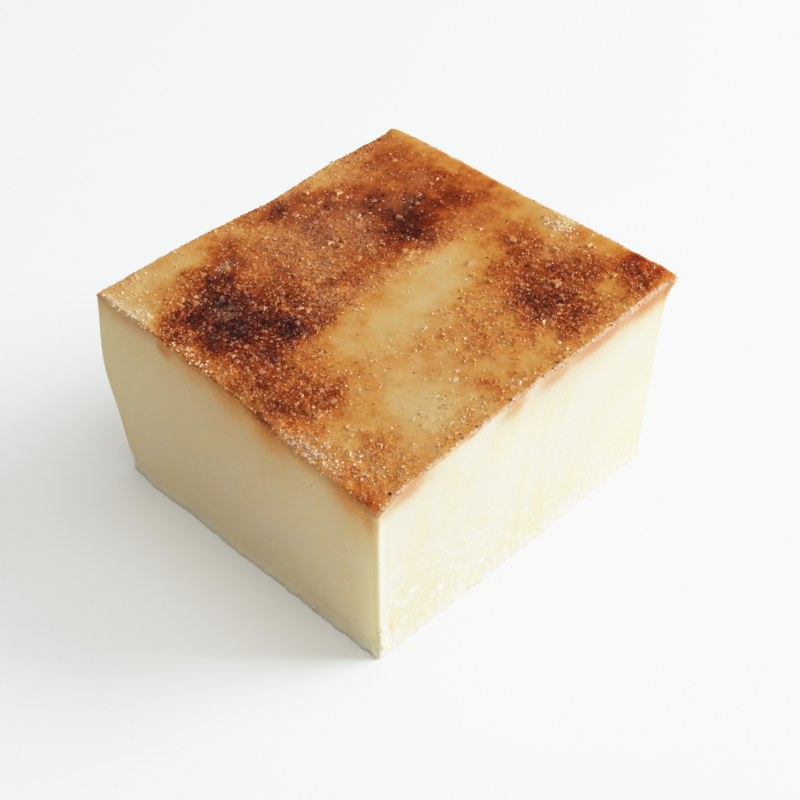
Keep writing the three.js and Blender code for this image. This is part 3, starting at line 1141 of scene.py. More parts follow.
    def push(self, source: np.ndarray, below_top: np.ndarray, outward: np.ndarray) -> np.ndarray:
        """How far the lip, the flare and the crumbled foot push each point of a side outward.

        Args:
            source: Points of the plain block, with its sloping top.
            below_top: How far each lies below the top.
            outward: The level direction in which its side faces.

        Returns:
            One distance for each point.
        """
        y, z = source[:, 1], source[:, 2]
        near = facing(outward, Side.NEAR)
        lip = 1 - smoothstep(below_top, self.lip_thickness / 2, self.lip_thickness * 1.5)
        push = self.lip_out * near * lip
        back = y / self.depth + 0.5
        flare = self.flare_near * (1 - back) + self.flare_far * back
        flare *= np.clip(1 - below_top / self.flare_rise, 0, 1) ** 2
        push += flare * facing(outward, Side.RIGHT) + self.side_wave.at(source)
        crumble = self.crumble_out + layered(self.crumble_waves, source)
        push += crumble * (1 - smoothstep(z, 0, self.crumble_rise))
        grit = layered(self.grit_waves, source)
        low = 1 - smoothstep(z, self.grit_full_share * self.grit_rise, self.grit_rise)
        push += (1 - self.smooth_near * near) * grit * low
        ragged = 1 - smoothstep(below_top, self.ragged_start, self.ragged_drop)
        return push + self.ragged_share * grit * ragged * facing(outward, Side.LEFT)

    def placed(self, straight: np.ndarray) -> np.ndarray:
        """Points of the straight block on the finished block, set over the frame."""
        return self.shape(straight) + self.shift

    def on_top(self, x: np.ndarray, y: np.ndarray, depth: Union[np.ndarray, float] = 0.0) -> np.ndarray:
        """Points on the finished top, or a little below its edge."""
        return self.placed(np.stack([x, y, np.full(len(x), self.mean_height) - depth], axis=1))

    def rough_mesh(self) -> tuple[bpy.types.Mesh, np.ndarray]:
        """The straight block: a fine sheet for the top, drawn down in levels and closed below.

        Returns:
            The mesh, and its points in mm.
        """
        sheet = bmesh.new()
        bmesh.ops.create_grid(sheet, x_segments=self.columns, y_segments=self.rows, size=0.5)
        rim = [edge for edge in sheet.edges if edge.is_boundary]
        for level in range(1, self.levels + 1):
            skirt = bmesh.ops.extrude_edge_only(sheet, edges=rim)["geom"]
            for vertex in only(skirt, bmesh.types.BMVert):
                vertex.co.z = -level
            for face in only(skirt, bmesh.types.BMFace):
                face.material_index = 1
            rim = [edge for edge in only(skirt, bmesh.types.BMEdge) if edge.is_boundary]
        for edge in rim:
            edge.smooth = False
        under = bmesh.ops.edgeloop_fill(sheet, edges=rim, mat_nr=1)["faces"]
        bmesh.ops.recalc_face_normals(sheet, faces=sheet.faces)
        for face in sheet.faces:
            face.smooth = face not in under
        points = np.array([vertex.co for vertex in sheet.verts])
        mesh = bpy.data.meshes.new("fudge_body")
        sheet.to_mesh(mesh)
        sheet.free()
        points[:, 0] = self.width * (gather_to_ends(points[:, 0] + 0.5, self.gather_across) - 0.5)
        points[:, 1] = self.depth * (gather_to_ends(points[:, 1] + 0.5, self.gather_across) - 0.5)
        points[:, 2] = self.mean_height * gather_to_ends(1 + points[:, 2] / self.levels, self.gather_up)
        return mesh, points

    def build(self, crust: bpy.types.Material, fudge: bpy.types.Material) -> bpy.types.Object:
        """Makes the block over the frame's solid and paints it.

        Args:
            crust: Finish of the top.
            fudge: Finish of the sides and the underside.

        Returns:
            The block.
        """
        mesh, straight = self.rough_mesh()
        shaped = self.shape(straight)
        low, high = (np.array(corner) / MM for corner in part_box(NODE))
        self.shift = (low + high) / 2 - (shaped.min(axis=0) + shaped.max(axis=0)) / 2
        self.shift[2] = 0
        mesh.vertices.foreach_set("co", ((shaped + self.shift) * MM).ravel())
        mesh.update()
        piece = new_piece("fudge_body", mesh, Slot.FUDGE, crust, fudge)
        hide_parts(NODE)
        for name, values in BlockPaint().values(self, straight, shaped).items():
            paint(mesh, name, values)
        return piece


@dataclass(frozen=True)
class Surface:
    """The block's points as its paint finds them: places, facing and unevenness, all in mm."""

    x: np.ndarray
    y: np.ndarray
    z: np.ndarray
    depth: np.ndarray
    outward: np.ndarray
    fine: np.ndarray
    broad: np.ndarray


@dataclass(frozen=True)
class BlockPaint:
    """What the block's finishes read at each of its points. Strengths go from 0 to 1, lengths are in mm.

    A pair of numbers is where a change starts and where it is complete.
    """

    fine_waves: tuple[Wave, ...] = (Wave(0.5, 2.6, 51), Wave(0.35, 0.9, 53))
    broad_wave: Wave = Wave(1.0, 9.0, 57)
    stain_sag: float = 0.35
    stain_stray: float = 0.8
    rim_swing: float = 0.4
    rim_ragged: float = 0.5
    rim_gap: float = 0.12
    least_rim: float = 0.02
    rim_fade: Span = (0.6, 1.3)
    rim_start: Span = (0.0, 0.1)
    frost_edge: Span = (0.05, 0.3)
    warm_rise: Span = (3, 17)
    fleck_slope: float = 0.2
    fleck_loss: float = 0.9
    fleck_rise: Span = (4, 14)
    # A whiter band along the foot: white crumbs, and on the shaded left side also painted light that lifts
    # the foot's shade.
    foot_white: float = 0.5
    foot_line: float = 0.6
    foot_half_height: float = 1.0
    # Painted light on the shaded sides, strongest near the foot.
    painted_fill: float = 0.7
    painted_fill_loss: float = 0.2
    painted_fill_rise: Span = (2, 15)
    # Painted glow near the foot of the shaded sides.
    foot_glow: float = 0.5
    foot_glow_rise: Span = (2, 9)
    under_rim: Span = (1, 4)
    # A painted highlight line down the near side, beside the upright edge of the near corner.
    edge_highlight: float = 0.45
    edge_highlight_strength: float = 0.8
    chunk: Mark = Mark(1.0, 3.0, 1.5, 4.0, 0.9)
    chunk_ragged: float = 0.5
    # Painted glow of light through the near corner into the left side's near end, and a lighter, yellower
    # far end of that side. near_glow makes the near side lighter and yellower toward its right end.
    lit_end: float = 0.85
    lit_width: float = 2.4
    lit_turn: Span = (0.25, 0.7)
    far_glow: float = 0.35
    far_glow_reach: Span = (4, 24)
    near_glow: Mark = Mark(24.5, 8, 8, 10, 0.5)
    skin_ragged: float = 0.4
    skin_depth: Span = (0.1, 0.7)
    skin_more_left: float = 1.3
    skin_thin_left: float = 0.65
    # The gleam mark makes the caramel at the right corner redder. The rolled left edge toward the near
    # corner gets painted light, where it turns away from the light.
    gleam: Mark = Mark(26, -22.5, 3, 3.4, 0.4)
    gleam_from_left: Span = (0.5, 4.5)
    gleam_along: Span = (-11, -4)

    def side(self, stain: SideStain, at: Surface) -> dict[str, np.ndarray]:
        """What one cut side has on it, as if every point faced its way.

        Args:
            stain: The side's marks.
            at: The block's points.

        Returns:
            One array for each painted value.
        """
        along = at.x if stain.side.value[1] else at.y
        wavy = along + self.stain_stray * at.fine
        below = at.depth + self.stain_sag * at.fine
        uneven = 1 + self.rim_swing * at.broad + self.rim_ragged * at.fine
        rim = union(stain.rims, along, 0 * along) * uneven - self.rim_gap
        frost = 1 - smoothstep(at.depth / np.maximum(rim, self.least_rim), *self.rim_fade)
        warm_foot = 1 - smoothstep(at.z, *self.warm_rise)
        unflecked = self.fleck_loss * smoothstep(at.z + self.fleck_slope * along, *self.fleck_rise)
        # A whiter band along the foot: white crumbs, and on the shaded left side painted light too.
        foot = self.foot_white * hump(at.z - self.foot_line, self.foot_half_height)
        # Painted light on a shaded side, strongest near its foot.
        light = self.painted_fill - self.painted_fill_loss * smoothstep(at.z, *self.painted_fill_rise)
        # Painted glow near the foot of a shaded side.
        glow = self.foot_glow * (1 - smoothstep(at.z, *self.foot_glow_rise))
        return {
            "bleed": union(stain.bleeds, wavy, below),
            "peach": union(stain.peaches, wavy, below),
            # Warmth: the fudge's own, and on the left side also painted shade.
            "warm": stain.warm + (stain.foot_warm - stain.warm) * warm_foot,
            "flecked": stain.flecks * (1 - unflecked),
            "frost": frost * smoothstep(rim, *self.rim_start),
            "white": stain.flecks * foot + stain.painted_fill * light,
            "glow": stain.painted_fill * glow,
        }

    def values(self, block: FudgeBlock, straight: np.ndarray, shaped: np.ndarray) -> dict[str, np.ndarray]:
        """Browning, haze, stains, warmth, flecks, frost and glow of the whole block, where the glow, part of
        the warmth and part of the white are painted light and shade.

        Args:
            block: The block.
            straight: Points of the straight block.
            shaped: The same points on the finished block.

        Returns:
            One array for each painted value.
        """
        x, y, z = straight.T
        depth = np.maximum(block.mean_height - z, 0)
        outward = block.outward(straight)
        fine = layered(self.fine_waves, shaped)
        at = Surface(x, y, z, depth, outward, fine, self.broad_wave.at(shaped))
        painted = {}
        for stain in block.stains:
            share = facing(outward, stain.side) ** 2
            for name, strength in self.side(stain, at).items():
                painted[name] = painted.get(name, 0) + share * strength
        painted["frost"] *= 1 - smoothstep(block.inset(x, y), *self.frost_edge)

        on_near = facing(outward, Side.NEAR) ** 2
        on_left = facing(outward, Side.LEFT) ** 2
        under_rim = smoothstep(depth, *self.under_rim)
        from_edge = x + block.width / 2
        chunk = self.chunk.at(from_edge + self.chunk_ragged * fine, z)
        # A painted highlight line down the near side beside its upright edge, and a white chunk at the foot
        # of that edge.
        line = self.edge_highlight_strength * under_rim * hump(from_edge - self.edge_highlight, self.edge_highlight)
        painted["white"] = np.maximum(painted["white"], on_near * np.maximum(line, chunk))
        # Painted glow on the left side: light through the near corner, and more toward its far end. The near
        # side turns lighter and yellower toward its right end.
        glow = self.lit_end * hump(y + block.depth / 2, self.lit_width) * smoothstep(on_left, *self.lit_turn)
        glow += self.far_glow * smoothstep(y, *self.far_glow_reach)
        painted["glow"] += on_left * under_rim * glow + on_near * self.near_glow.at(x, z)

        skin_full, skin_gone = self.skin_depth
        skin_gone = skin_gone + self.skin_more_left * on_left
        skin = 1 - smoothstep(depth + self.skin_ragged * fine, skin_full, skin_gone)
        painted["skin"] = skin * (1 - painted["frost"]) * (1 - self.skin_thin_left * on_left)
        # Painted light on the rolled left edge, which turns away from the light, and redder caramel at the
        # right corner.
        rolled = (1 - smoothstep(from_edge, *self.gleam_from_left)) * (1 - smoothstep(y, *self.gleam_along))
        painted["gleam"] = self.gleam.at(x, y) + rolled
        painted["burn"] = block.marks.burn(x, y)
        painted["haze"] = block.marks.haze(x, y)
        painted["sandy"] = block.marks.graininess(x, y)
        return {name: np.clip(strength, 0, 1) for name, strength in painted.items()}


# Sugar, whose grains' corners stray by up to a share of their edges

CORNER_STRAY = 0.14


@dataclass(frozen=True)
class Template:
    """Points and faces of one small thing, one unit across, to be repeated."""

    points: np.ndarray
    corners: np.ndarray
    starts: np.ndarray
    normals: np.ndarray

    @classmethod
    def taken_from(cls, shape: bmesh.types.BMesh) -> "Template":
        """Reads a finished bmesh and frees it. The normals are one for each corner of each face.

        Args:
            shape: The bmesh.

        Returns:
            Its points and faces.
        """
        shape.verts.index_update()
        shape.normal_update()
        points = np.array([vertex.co for vertex in shape.verts])
        faces = [[vertex.index for vertex in face.verts] for face in shape.faces]
        normals = np.array([face.normal for face in shape.faces for _ in face.verts])
        shape.free()
        starts = np.cumsum([0] + [len(face) for face in faces[:-1]])
        return cls(points, np.concatenate(faces), starts, normals)

    @classmethod
    def brick(cls) -> "Template":
        """A brick with sharp edges.

        Returns:
            The brick.
        """
        shape = bmesh.new()
        bmesh.ops.create_cube(shape, size=1.0)
        return cls.taken_from(shape)

    @classmethod
    def lump(cls) -> "Template":
        """A round lump.

        Returns:
            The lump.
        """
        shape = bmesh.new()
        bmesh.ops.create_icosphere(shape, subdivisions=2, radius=0.5)
        return cls.taken_from(shape)


def random_turns(random: np.random.Generator, count: int) -> np.ndarray:
    """Rotation matrices that turn each of count things any way.

    Args:
        random: Where the turns come from.
        count: How many things there are.

    Returns:
        One matrix for each thing.
    """
    quaternion = random.normal(size=(count, 4))
    w, x, y, z = (quaternion / np.linalg.norm(quaternion, axis=1, keepdims=True)).T
    return np.stack([
        np.stack([1 - 2 * (y * y + z * z), 2 * (x * y - z * w), 2 * (x * z + y * w)], axis=1),
        np.stack([2 * (x * y + z * w), 1 - 2 * (x * x + z * z), 2 * (y * z - x * w)], axis=1),
        np.stack([2 * (x * z - y * w), 2 * (y * z + x * w), 1 - 2 * (x * x + y * y)], axis=1),
    ], axis=1)


def brick_sizes(random: np.random.Generator, length: np.ndarray, wide: Span, thick: Span) -> np.ndarray:
    """Edge lengths of bricks.

    Args:
        random: Where the widths and thicknesses come from.
        length: The longest edge of each brick.
        wide: Least and most width, as shares of the length.
        thick: Least and most thickness, as shares of the length.

    Returns:
        Three edge lengths for each brick.
    """
    count = len(length)
    shares = [np.ones(count), random.uniform(*wide, count), random.uniform(*thick, count)]
    return length[:, None] * np.stack(shares, axis=1)


@dataclass
class GrainBatch:
    """Grains of one kind, as arrays: middles, edge lengths in mm, turns and browning."""

    middles: np.ndarray
    sizes: np.ndarray
    turns: np.ndarray
    burn: np.ndarray

    @classmethod
    def joined(cls, batches: list["GrainBatch"]) -> "GrainBatch":
        """Several batches as one."""
        names = ("middles", "sizes", "turns", "burn")
        return cls(*(np.concatenate([getattr(batch, name) for batch in batches]) for name in names))

    def mesh(
        self, name: str, template: Template, softness: float, random: np.random.Generator
    ) -> bpy.types.Mesh:
        """One joined mesh of all the grains, whose corners stray a little.

        Args:
            name: The mesh's name.
            template: The shape of one grain.
            softness: How far the shading of the faces is bent upward, from 0 to 1. Light that passes
                through sugar evens it out like this.
            random: Where the straying comes from.

        Returns:
            The mesh, in metres.
        """
        count = len(self.middles)
        each = len(template.points)
        corners = template.points[None] + random.uniform(-CORNER_STRAY, CORNER_STRAY, (count, each, 3))
        corners = np.einsum("nij,nkj->nki", self.turns, corners * self.sizes[:, None])
        points = (corners + self.middles[:, None]) * MM
        loops = template.corners[None] + each * np.arange(count)[:, None]
        starts = template.starts[None] + len(template.corners) * np.arange(count)[:, None]
        mesh = bpy.data.meshes.new(name)
        mesh.vertices.add(count * each)
        mesh.vertices.foreach_set("co", points.ravel())
        mesh.loops.add(loops.size)
        mesh.loops.foreach_set("vertex_index", loops.ravel())
        mesh.polygons.add(starts.size)
        mesh.polygons.foreach_set("loop_start", starts.ravel())
        mesh.update(calc_edges=True)
        mesh.shade_smooth()
        bent = np.einsum("nij,kj->nki", self.turns, template.normals) * (1 - softness)
        bent[:, :, 2] += softness
        bent /= np.linalg.norm(bent, axis=2, keepdims=True)
        mesh.normals_split_custom_set(bent.reshape(-1, 3))
        paint(mesh, "burn", np.repeat(self.burn, each))
        return mesh


@dataclass(frozen=True)
class Cover:
    """How thickly grains lie: the chance of one where the top is fully so, less what is spared."""

    hazy: float = 0.0
    sandy: float = 0.0
    scorched: float = 0.0
    near_edge: float = 0.0
    spared: float = 0.0


class Ground(Enum):
    """Where on the top a kind of grain lies."""

    CARAMEL = Cover(sandy=0.36, spared=0.014)
    UNMELTED = Cover(hazy=0.3, sandy=0.3, spared=0.011)
    SCORCHED = Cover(scorched=0.7, near_edge=0.4)


@dataclass
class SugarGrains:
    """One kind of loose sugar, scattered over the top. Lengths are in mm."""

    name: str
    ground: Ground
    finish: SugarFinish
    slot: Slot
    tries: int
    least: float
    most: float
    showing: float
    softness: float
    browning: float
    variety: float
    seed: int
    wide: Span = (0.65, 1)
    thick: Span = (0.5, 0.85)
    margin: float = 0.1
    rolled: int = 0
    roll_chance: float = 0.2
    roll_depth: float = 0.4
    roll_browning: float = 0.05
    scorch: Span = (0.5, 0.95)
    edge_inset: float = 0.4
    edge_half_width: float = 0.3
    edge_thinning: float = 0.7
    edge_thin: Span = (-16, -8)

    def density(self, block: FudgeBlock, x: np.ndarray, y: np.ndarray) -> np.ndarray:
        """Chance that a grain lies at each place.

        Args:
            block: The block that the grains lie on.
            x: Places along X, in mm.
            y: Places along Y, in mm.

        Returns:
            One chance for each place, which may pass 0 or 1.
        """
        cover, marks = self.ground.value, block.marks
        edge = hump(y + block.depth / 2 - self.edge_inset, self.edge_half_width)
        edge *= 1 - self.edge_thinning * smoothstep(x, *self.edge_thin)
        loose = cover.hazy * marks.haze(x, y) + cover.sandy * marks.graininess(x, y)
        dark = cover.scorched * smoothstep(marks.burn(x, y), *self.scorch) + cover.near_edge * edge
        return loose + dark - cover.spared

    def scatter(self, block: FudgeBlock, random: np.random.Generator) -> GrainBatch:
        """Grains laid on the top where their kind lies.

        Args:
            block: The block that they lie on.
            random: Where their places, sizes and turns come from.

        Returns:
            The grains.
        """
        reach_x, reach_y = block.half - self.margin
        x = random.uniform(-reach_x, reach_x, self.tries)
        y = random.uniform(-reach_y, reach_y, self.tries)
        kept = random.uniform(size=self.tries) < self.density(block, x, y)
        over_y = random.uniform(-reach_y, reach_y, self.rolled)
        sandy = block.marks.graininess(np.full(self.rolled, -reach_x), over_y)
        over_y = over_y[random.uniform(size=self.rolled) < self.roll_chance + sandy]
        depth = self.roll_depth * random.uniform(size=len(over_y)) ** 2
        depth = np.concatenate([np.zeros(kept.sum()), depth])
        x = np.concatenate([x[kept], np.full(len(over_y), -block.width / 2)])
        y = np.concatenate([y[kept], over_y])
        count = len(x)
        length = self.least + (self.most - self.least) * random.uniform(size=count) ** 2
        sizes = brick_sizes(random, length, self.wide, self.thick)
        middles = block.on_top(x, y, depth)
        middles[:, 2] += length * (self.showing - 0.5)
        burn = block.marks.burn(x, y) + self.browning + random.normal(0, self.variety, count)
        burn = np.clip(burn + self.roll_browning * (depth > 0), 0, 1)
        return GrainBatch(middles, sizes, random_turns(random, count), burn)

    def build(self, block: FudgeBlock, *extra: GrainBatch) -> bpy.types.Object:
        """Makes the grains as one piece.

        Args:
            block: The block that they lie on.
            extra: More grains of this kind, placed already.

        Returns:
            The piece.
        """
        random = np.random.default_rng(self.seed)
        grains = GrainBatch.joined([self.scatter(block, random), *extra])
        mesh = grains.mesh(self.name, Template.brick(), self.softness, random)
        return new_piece(self.name, mesh, self.slot, self.finish.make())


@dataclass
class LargeCrystals:
    """The largest crystals, which lie in patches and are in the solid too. Lengths are in mm.

    A patch is given by its middle, its radius and its number of crystals.
    """

    length: Span = (0.65, 1.1)
    wide: Span = (0.7, 1.0)
    thick: Span = (0.6, 0.9)
    showing: float = 0.28
    browning: float = 0.68
    margin: float = 1.3
    seed: int = 41
    multiplier: int = 16807
    modulus: int = 2147483647
    patches: tuple[tuple[float, float, float, int], ...] = (
        (3, 16, 10, 20), (-16, 8, 11, 18), (13, 7, 9, 10), (15, -15, 11, 18), (-24, -13, 7, 14),
        (-8, -19, 10, 6), (25, -8, 4, 6),
    )

    def draws(self) -> Iterator[float]:
        """Endless repeatable numbers from 0 to 1, the same that placed the solid's crystals.

        Returns:
            The numbers, one by one.
        """
        state = self.seed
        while True:
            state = state * self.multiplier % self.modulus
            yield state / self.modulus

    def batch(self, block: FudgeBlock) -> GrainBatch:
        """The crystals, each where the solid has it.

        Args:
            block: The block that they lie on.

        Returns:
            The crystals.
        """
        draw = self.draws()
        places, sizes, turns = [], [], []
        for patch_x, patch_y, radius, count in self.patches:
            for _ in range(count):
                length = between(self.length, next(draw) ** 2)
                width = length * between(self.wide, next(draw))
                thickness = length * between(self.thick, next(draw))
                first = Matrix.Rotation(math.pi * next(draw), 3, "X")
                turns.append(np.array(Matrix.Rotation(math.pi * next(draw), 3, "Y") @ first))
                angle = 2 * math.pi * next(draw)
                reach = radius * math.sqrt(next(draw))
                sizes.append((length, width, thickness))
                places.append((patch_x + reach * math.cos(angle), patch_y + reach * math.sin(angle)))
        far = block.half - self.margin
        x, y = np.clip(np.array(places), -far, far).T
        sizes = np.array(sizes)
        middles = block.on_top(x, y)
        middles[:, 2] += sizes[:, 0] * (self.showing - 0.5)
        return GrainBatch(middles, sizes, np.array(turns), self.browning * block.marks.burn(x, y))


@dataclass
class DarkSpecks:
    """The few dark specks in the cut sides and on the paler parts of the top. Lengths are in mm.

    A speck on the top is given by its place and its size.
    """

    on_top: tuple[tuple[float, float, float], ...] = (
        (19, 25, 0.32), (21.5, 24, 0.36), (24, 25, 0.32), (5.1, -8.7, 0.3), (8.2, -15.2, 0.32),
        (-1, -11, 0.22), (-9, -14, 0.22), (14, -5.5, 0.24), (22, -2, 0.24), (-22, 18.5, 0.24),
    )
    top_burn: float = 0.6
    proportions: tuple[float, float, float] = (1.0, 0.8, 0.5)
    seed: int = 12

    def batch(self, block: FudgeBlock) -> GrainBatch:
        """The specks of all four sides and the top.

        Args:
            block: The block that they sit in.

        Returns:
            The specks.
        """
        half_x, half_y = block.half
        rows = []
        for stain in block.stains:
            facing_x, facing_y = stain.side.value
            for along, height, size in stain.specks:
                x = facing_x * half_x if facing_x else along
                y = facing_y * half_y if facing_y else along
                rows.append((x, y, height * block.mean_height / block.top_height(x, y), size))
        burn = np.repeat([0.0, self.top_burn], [len(rows), len(self.on_top)])
        rows.extend((x, y, block.mean_height, size) for x, y, size in self.on_top)
        points = np.array(rows)
        turns = random_turns(np.random.default_rng(self.seed), len(points))
        sizes = points[:, 3:] * np.array(self.proportions)
        return GrainBatch(block.placed(points[:, :3]), sizes, turns, burn)


@dataclass
class RimSugar:
    """Unmelted sugar that shows at the cut edges of the top. Lengths are in mm."""

    finish: SugarFinish = RIM_SUGAR
    softness: float = 0.6
    grains_per_mm: float = 14.0
    least: float = 0.14
    most: float = 0.38
    wide: Span = (0.6, 1)
    thick: Span = (0.5, 0.9)
    stray_chance: float = 0.03
    rim_chance: float = 1.9
    meander: Wave = Wave(0.8, 2.2, 71)
    edge_width: float = 0.1
    thin_depth: float = 0.15
    thick_depth: float = 0.6
    embedding: float = 0.1
    sinking: float = 0.3
    browning: float = 0.36
    burn_share: float = 0.4
    variety: float = 0.16
    drift_tries: int = 40000
    drift_size: float = 0.8
    drift_browning: float = 0.12
    drift_variety: float = 0.15
    drifts: tuple[Mark, ...] = (
        Mark(-27, -11.4, 0.9, 1.2, 0.8), Mark(-26.8, -15, 1, 1.3, 0.9), Mark(-26.3, -18.4, 1, 1.1, 0.4),
        Mark(26.8, -8, 1.4, 2, 1.0), Mark(-12.6, 17.9, 1.3, 0.6, 0.2), Mark(-27, 19.5, 0.8, 4.4, 0.3),
        Mark(-25, -22, 2.4, 2.4, 0.05), Mark(-26.8, 8, 0.6, 3, 0.3),
    )
    seed: int = 8

    def build(self, block: FudgeBlock) -> bpy.types.Object:
        """Makes the rim's grains as one piece.

        Args:
            block: The block that they lie on.

        Returns:
            The piece.
        """
        random = np.random.default_rng(self.seed)
        batches = [self.along(block, stain, random) for stain in block.stains if stain.rims]
        batches.append(self.drifted(block, random))
        mesh = GrainBatch.joined(batches).mesh("rim_sugar", Template.brick(), self.softness, random)
        return new_piece("rim_sugar", mesh, Slot.SUGAR, self.finish.make())

    def along(self, block: FudgeBlock, stain: SideStain, random: np.random.Generator) -> GrainBatch:
        """Grains along one edge of the top.

        Args:
            block: The block that they lie on.
            stain: The side, and how thick its sugar layer shows.
            random: Where their places, sizes and turns come from.

        Returns:
            The grains.
        """
        facing_x, facing_y = stain.side.value
        half_x, half_y = block.half
        run = half_y if facing_x else half_x
        count = int(2 * run * self.grains_per_mm)
        place = random.uniform(-run, run, count)
        rim = union(stain.rims, place, 0 * place)
        kept = random.uniform(0, 1, count) < self.stray_chance + self.rim_chance * rim
        place, rim = place[kept], rim[kept]
        count = len(place)
        inward = np.maximum(self.meander.at(flat(place, 0 * place)), 0)
        depth = (self.thin_depth + self.thick_depth * rim) * random.uniform(0, 1, count) ** 2
        depth *= inward < self.edge_width
        x = facing_x * (half_x - inward) if facing_x else place
        y = facing_y * (half_y - inward) if facing_y else place
        sizes = brick_sizes(random, random.uniform(self.least, self.most, count), self.wide, self.thick)
        sunk = self.embedding * np.array([facing_x, facing_y, self.sinking])
        burn = self.browning + self.burn_share * block.marks.burn(x, y)
        burn = np.clip(burn + random.normal(0, self.variety, count), 0, 1)
        return GrainBatch(block.on_top(x, y, depth) - sunk, sizes, random_turns(random, count), burn)

    def drifted(self, block: FudgeBlock, random: np.random.Generator) -> GrainBatch:
        """Grains that lie in small white drifts on the top.

        Args:
            block: The block that they lie on.
            random: Where their places, sizes and turns come from.

        Returns:
            The grains.
        """
        half_x, half_y = block.half
        x = random.uniform(-half_x, half_x, self.drift_tries)
        y = random.uniform(-half_y, half_y, self.drift_tries)
        kept = random.uniform(size=self.drift_tries) < union(self.drifts, *block.marks.warped(x, y))
        x, y = x[kept], y[kept]
        count = len(x)
        length = self.drift_size * random.uniform(self.least, self.most, count)
        sizes = brick_sizes(random, length, self.wide, self.thick)
        burn = np.clip(self.drift_browning + random.normal(0, self.drift_variety, count), 0, 1)
        return GrainBatch(block.on_top(x, y), sizes, random_turns(random, count), burn)


@dataclass
class FootCrumbs:
    """Crumbs that cling round the foot. Lengths are in mm."""

    per_side: int = 110
    at_near_corner: int = 70
    least: float = 0.2
    most: float = 0.75
    roundness: Span = (0.65, 1)
    softness: float = 0.3
    rise: float = 1.0
    corner_reach: float = 0.07
    corner_rise: float = 5.0
    corner_size: float = 2.3
    embedding: float = 0.35
    seed: int = 9

    def build(self, block: FudgeBlock, fudge: bpy.types.Material) -> bpy.types.Object:
        """Makes the crumbs as one piece.

        Args:
            block: The block that they cling to.
            fudge: Their finish.

        Returns:
            The piece.
        """
        random = np.random.default_rng(self.seed)
        sides = list(Side)
        count = len(sides) * self.per_side + self.at_near_corner
        corner = slice(count - self.at_near_corner, count)
        share = random.uniform(-1, 1, count)
        share[corner] = -1 + self.corner_reach * random.uniform(0, 1, self.at_near_corner) ** 2
        number = np.arange(count) % len(sides)
        number[corner] = sides.index(Side.NEAR)
        ways = np.array([side.value for side in sides])[number]
        x, y = (np.where(ways, ways, share[:, None]) * block.half).T
        size = self.least + (self.most - self.least) * random.uniform(0, 1, count) ** 2
        shares = random.uniform(*self.roundness, (count, 3))
        size[corner] *= self.corner_size
        height = 0.5 * size + self.rise * random.uniform(0, 1, count) ** 3
        height[corner] += self.corner_rise * random.uniform(0, 1, self.at_near_corner) ** 2
        straight = np.stack([x, y, height], axis=1)
        middles = block.placed(straight)
        middles[:, :2] -= block.outward(straight) * (self.embedding * size)[:, None]
        middles[:, 2] = height
        crumbs = GrainBatch(middles, size[:, None] * shares, random_turns(random, count), np.zeros(count))
        mesh = crumbs.mesh("foot_crumbs", Template.lump(), self.softness, random)
        return new_piece("foot_crumbs", mesh, Slot.FUDGE, fudge)


# Surroundings

@dataclass(frozen=True)
class SoftLight:
    """One square soft light that looks at the block. Lengths are in metres, the power is in watts."""

    name: str
    place: tuple[float, float, float]
    size: float
    power: float
    colour: tuple[float, float, float]

    def build(self) -> None:
        """Puts the light in the scene, turned to the block."""
        data = bpy.data.lights.new(self.name, "AREA")
        data.size = self.size
        data.energy = self.power
        data.color = self.colour
        light = into_scene(self.name, data)
        light.location = self.place
        light.rotation_euler = (-Vector(self.place)).to_track_quat("-Z", "Y").to_euler()


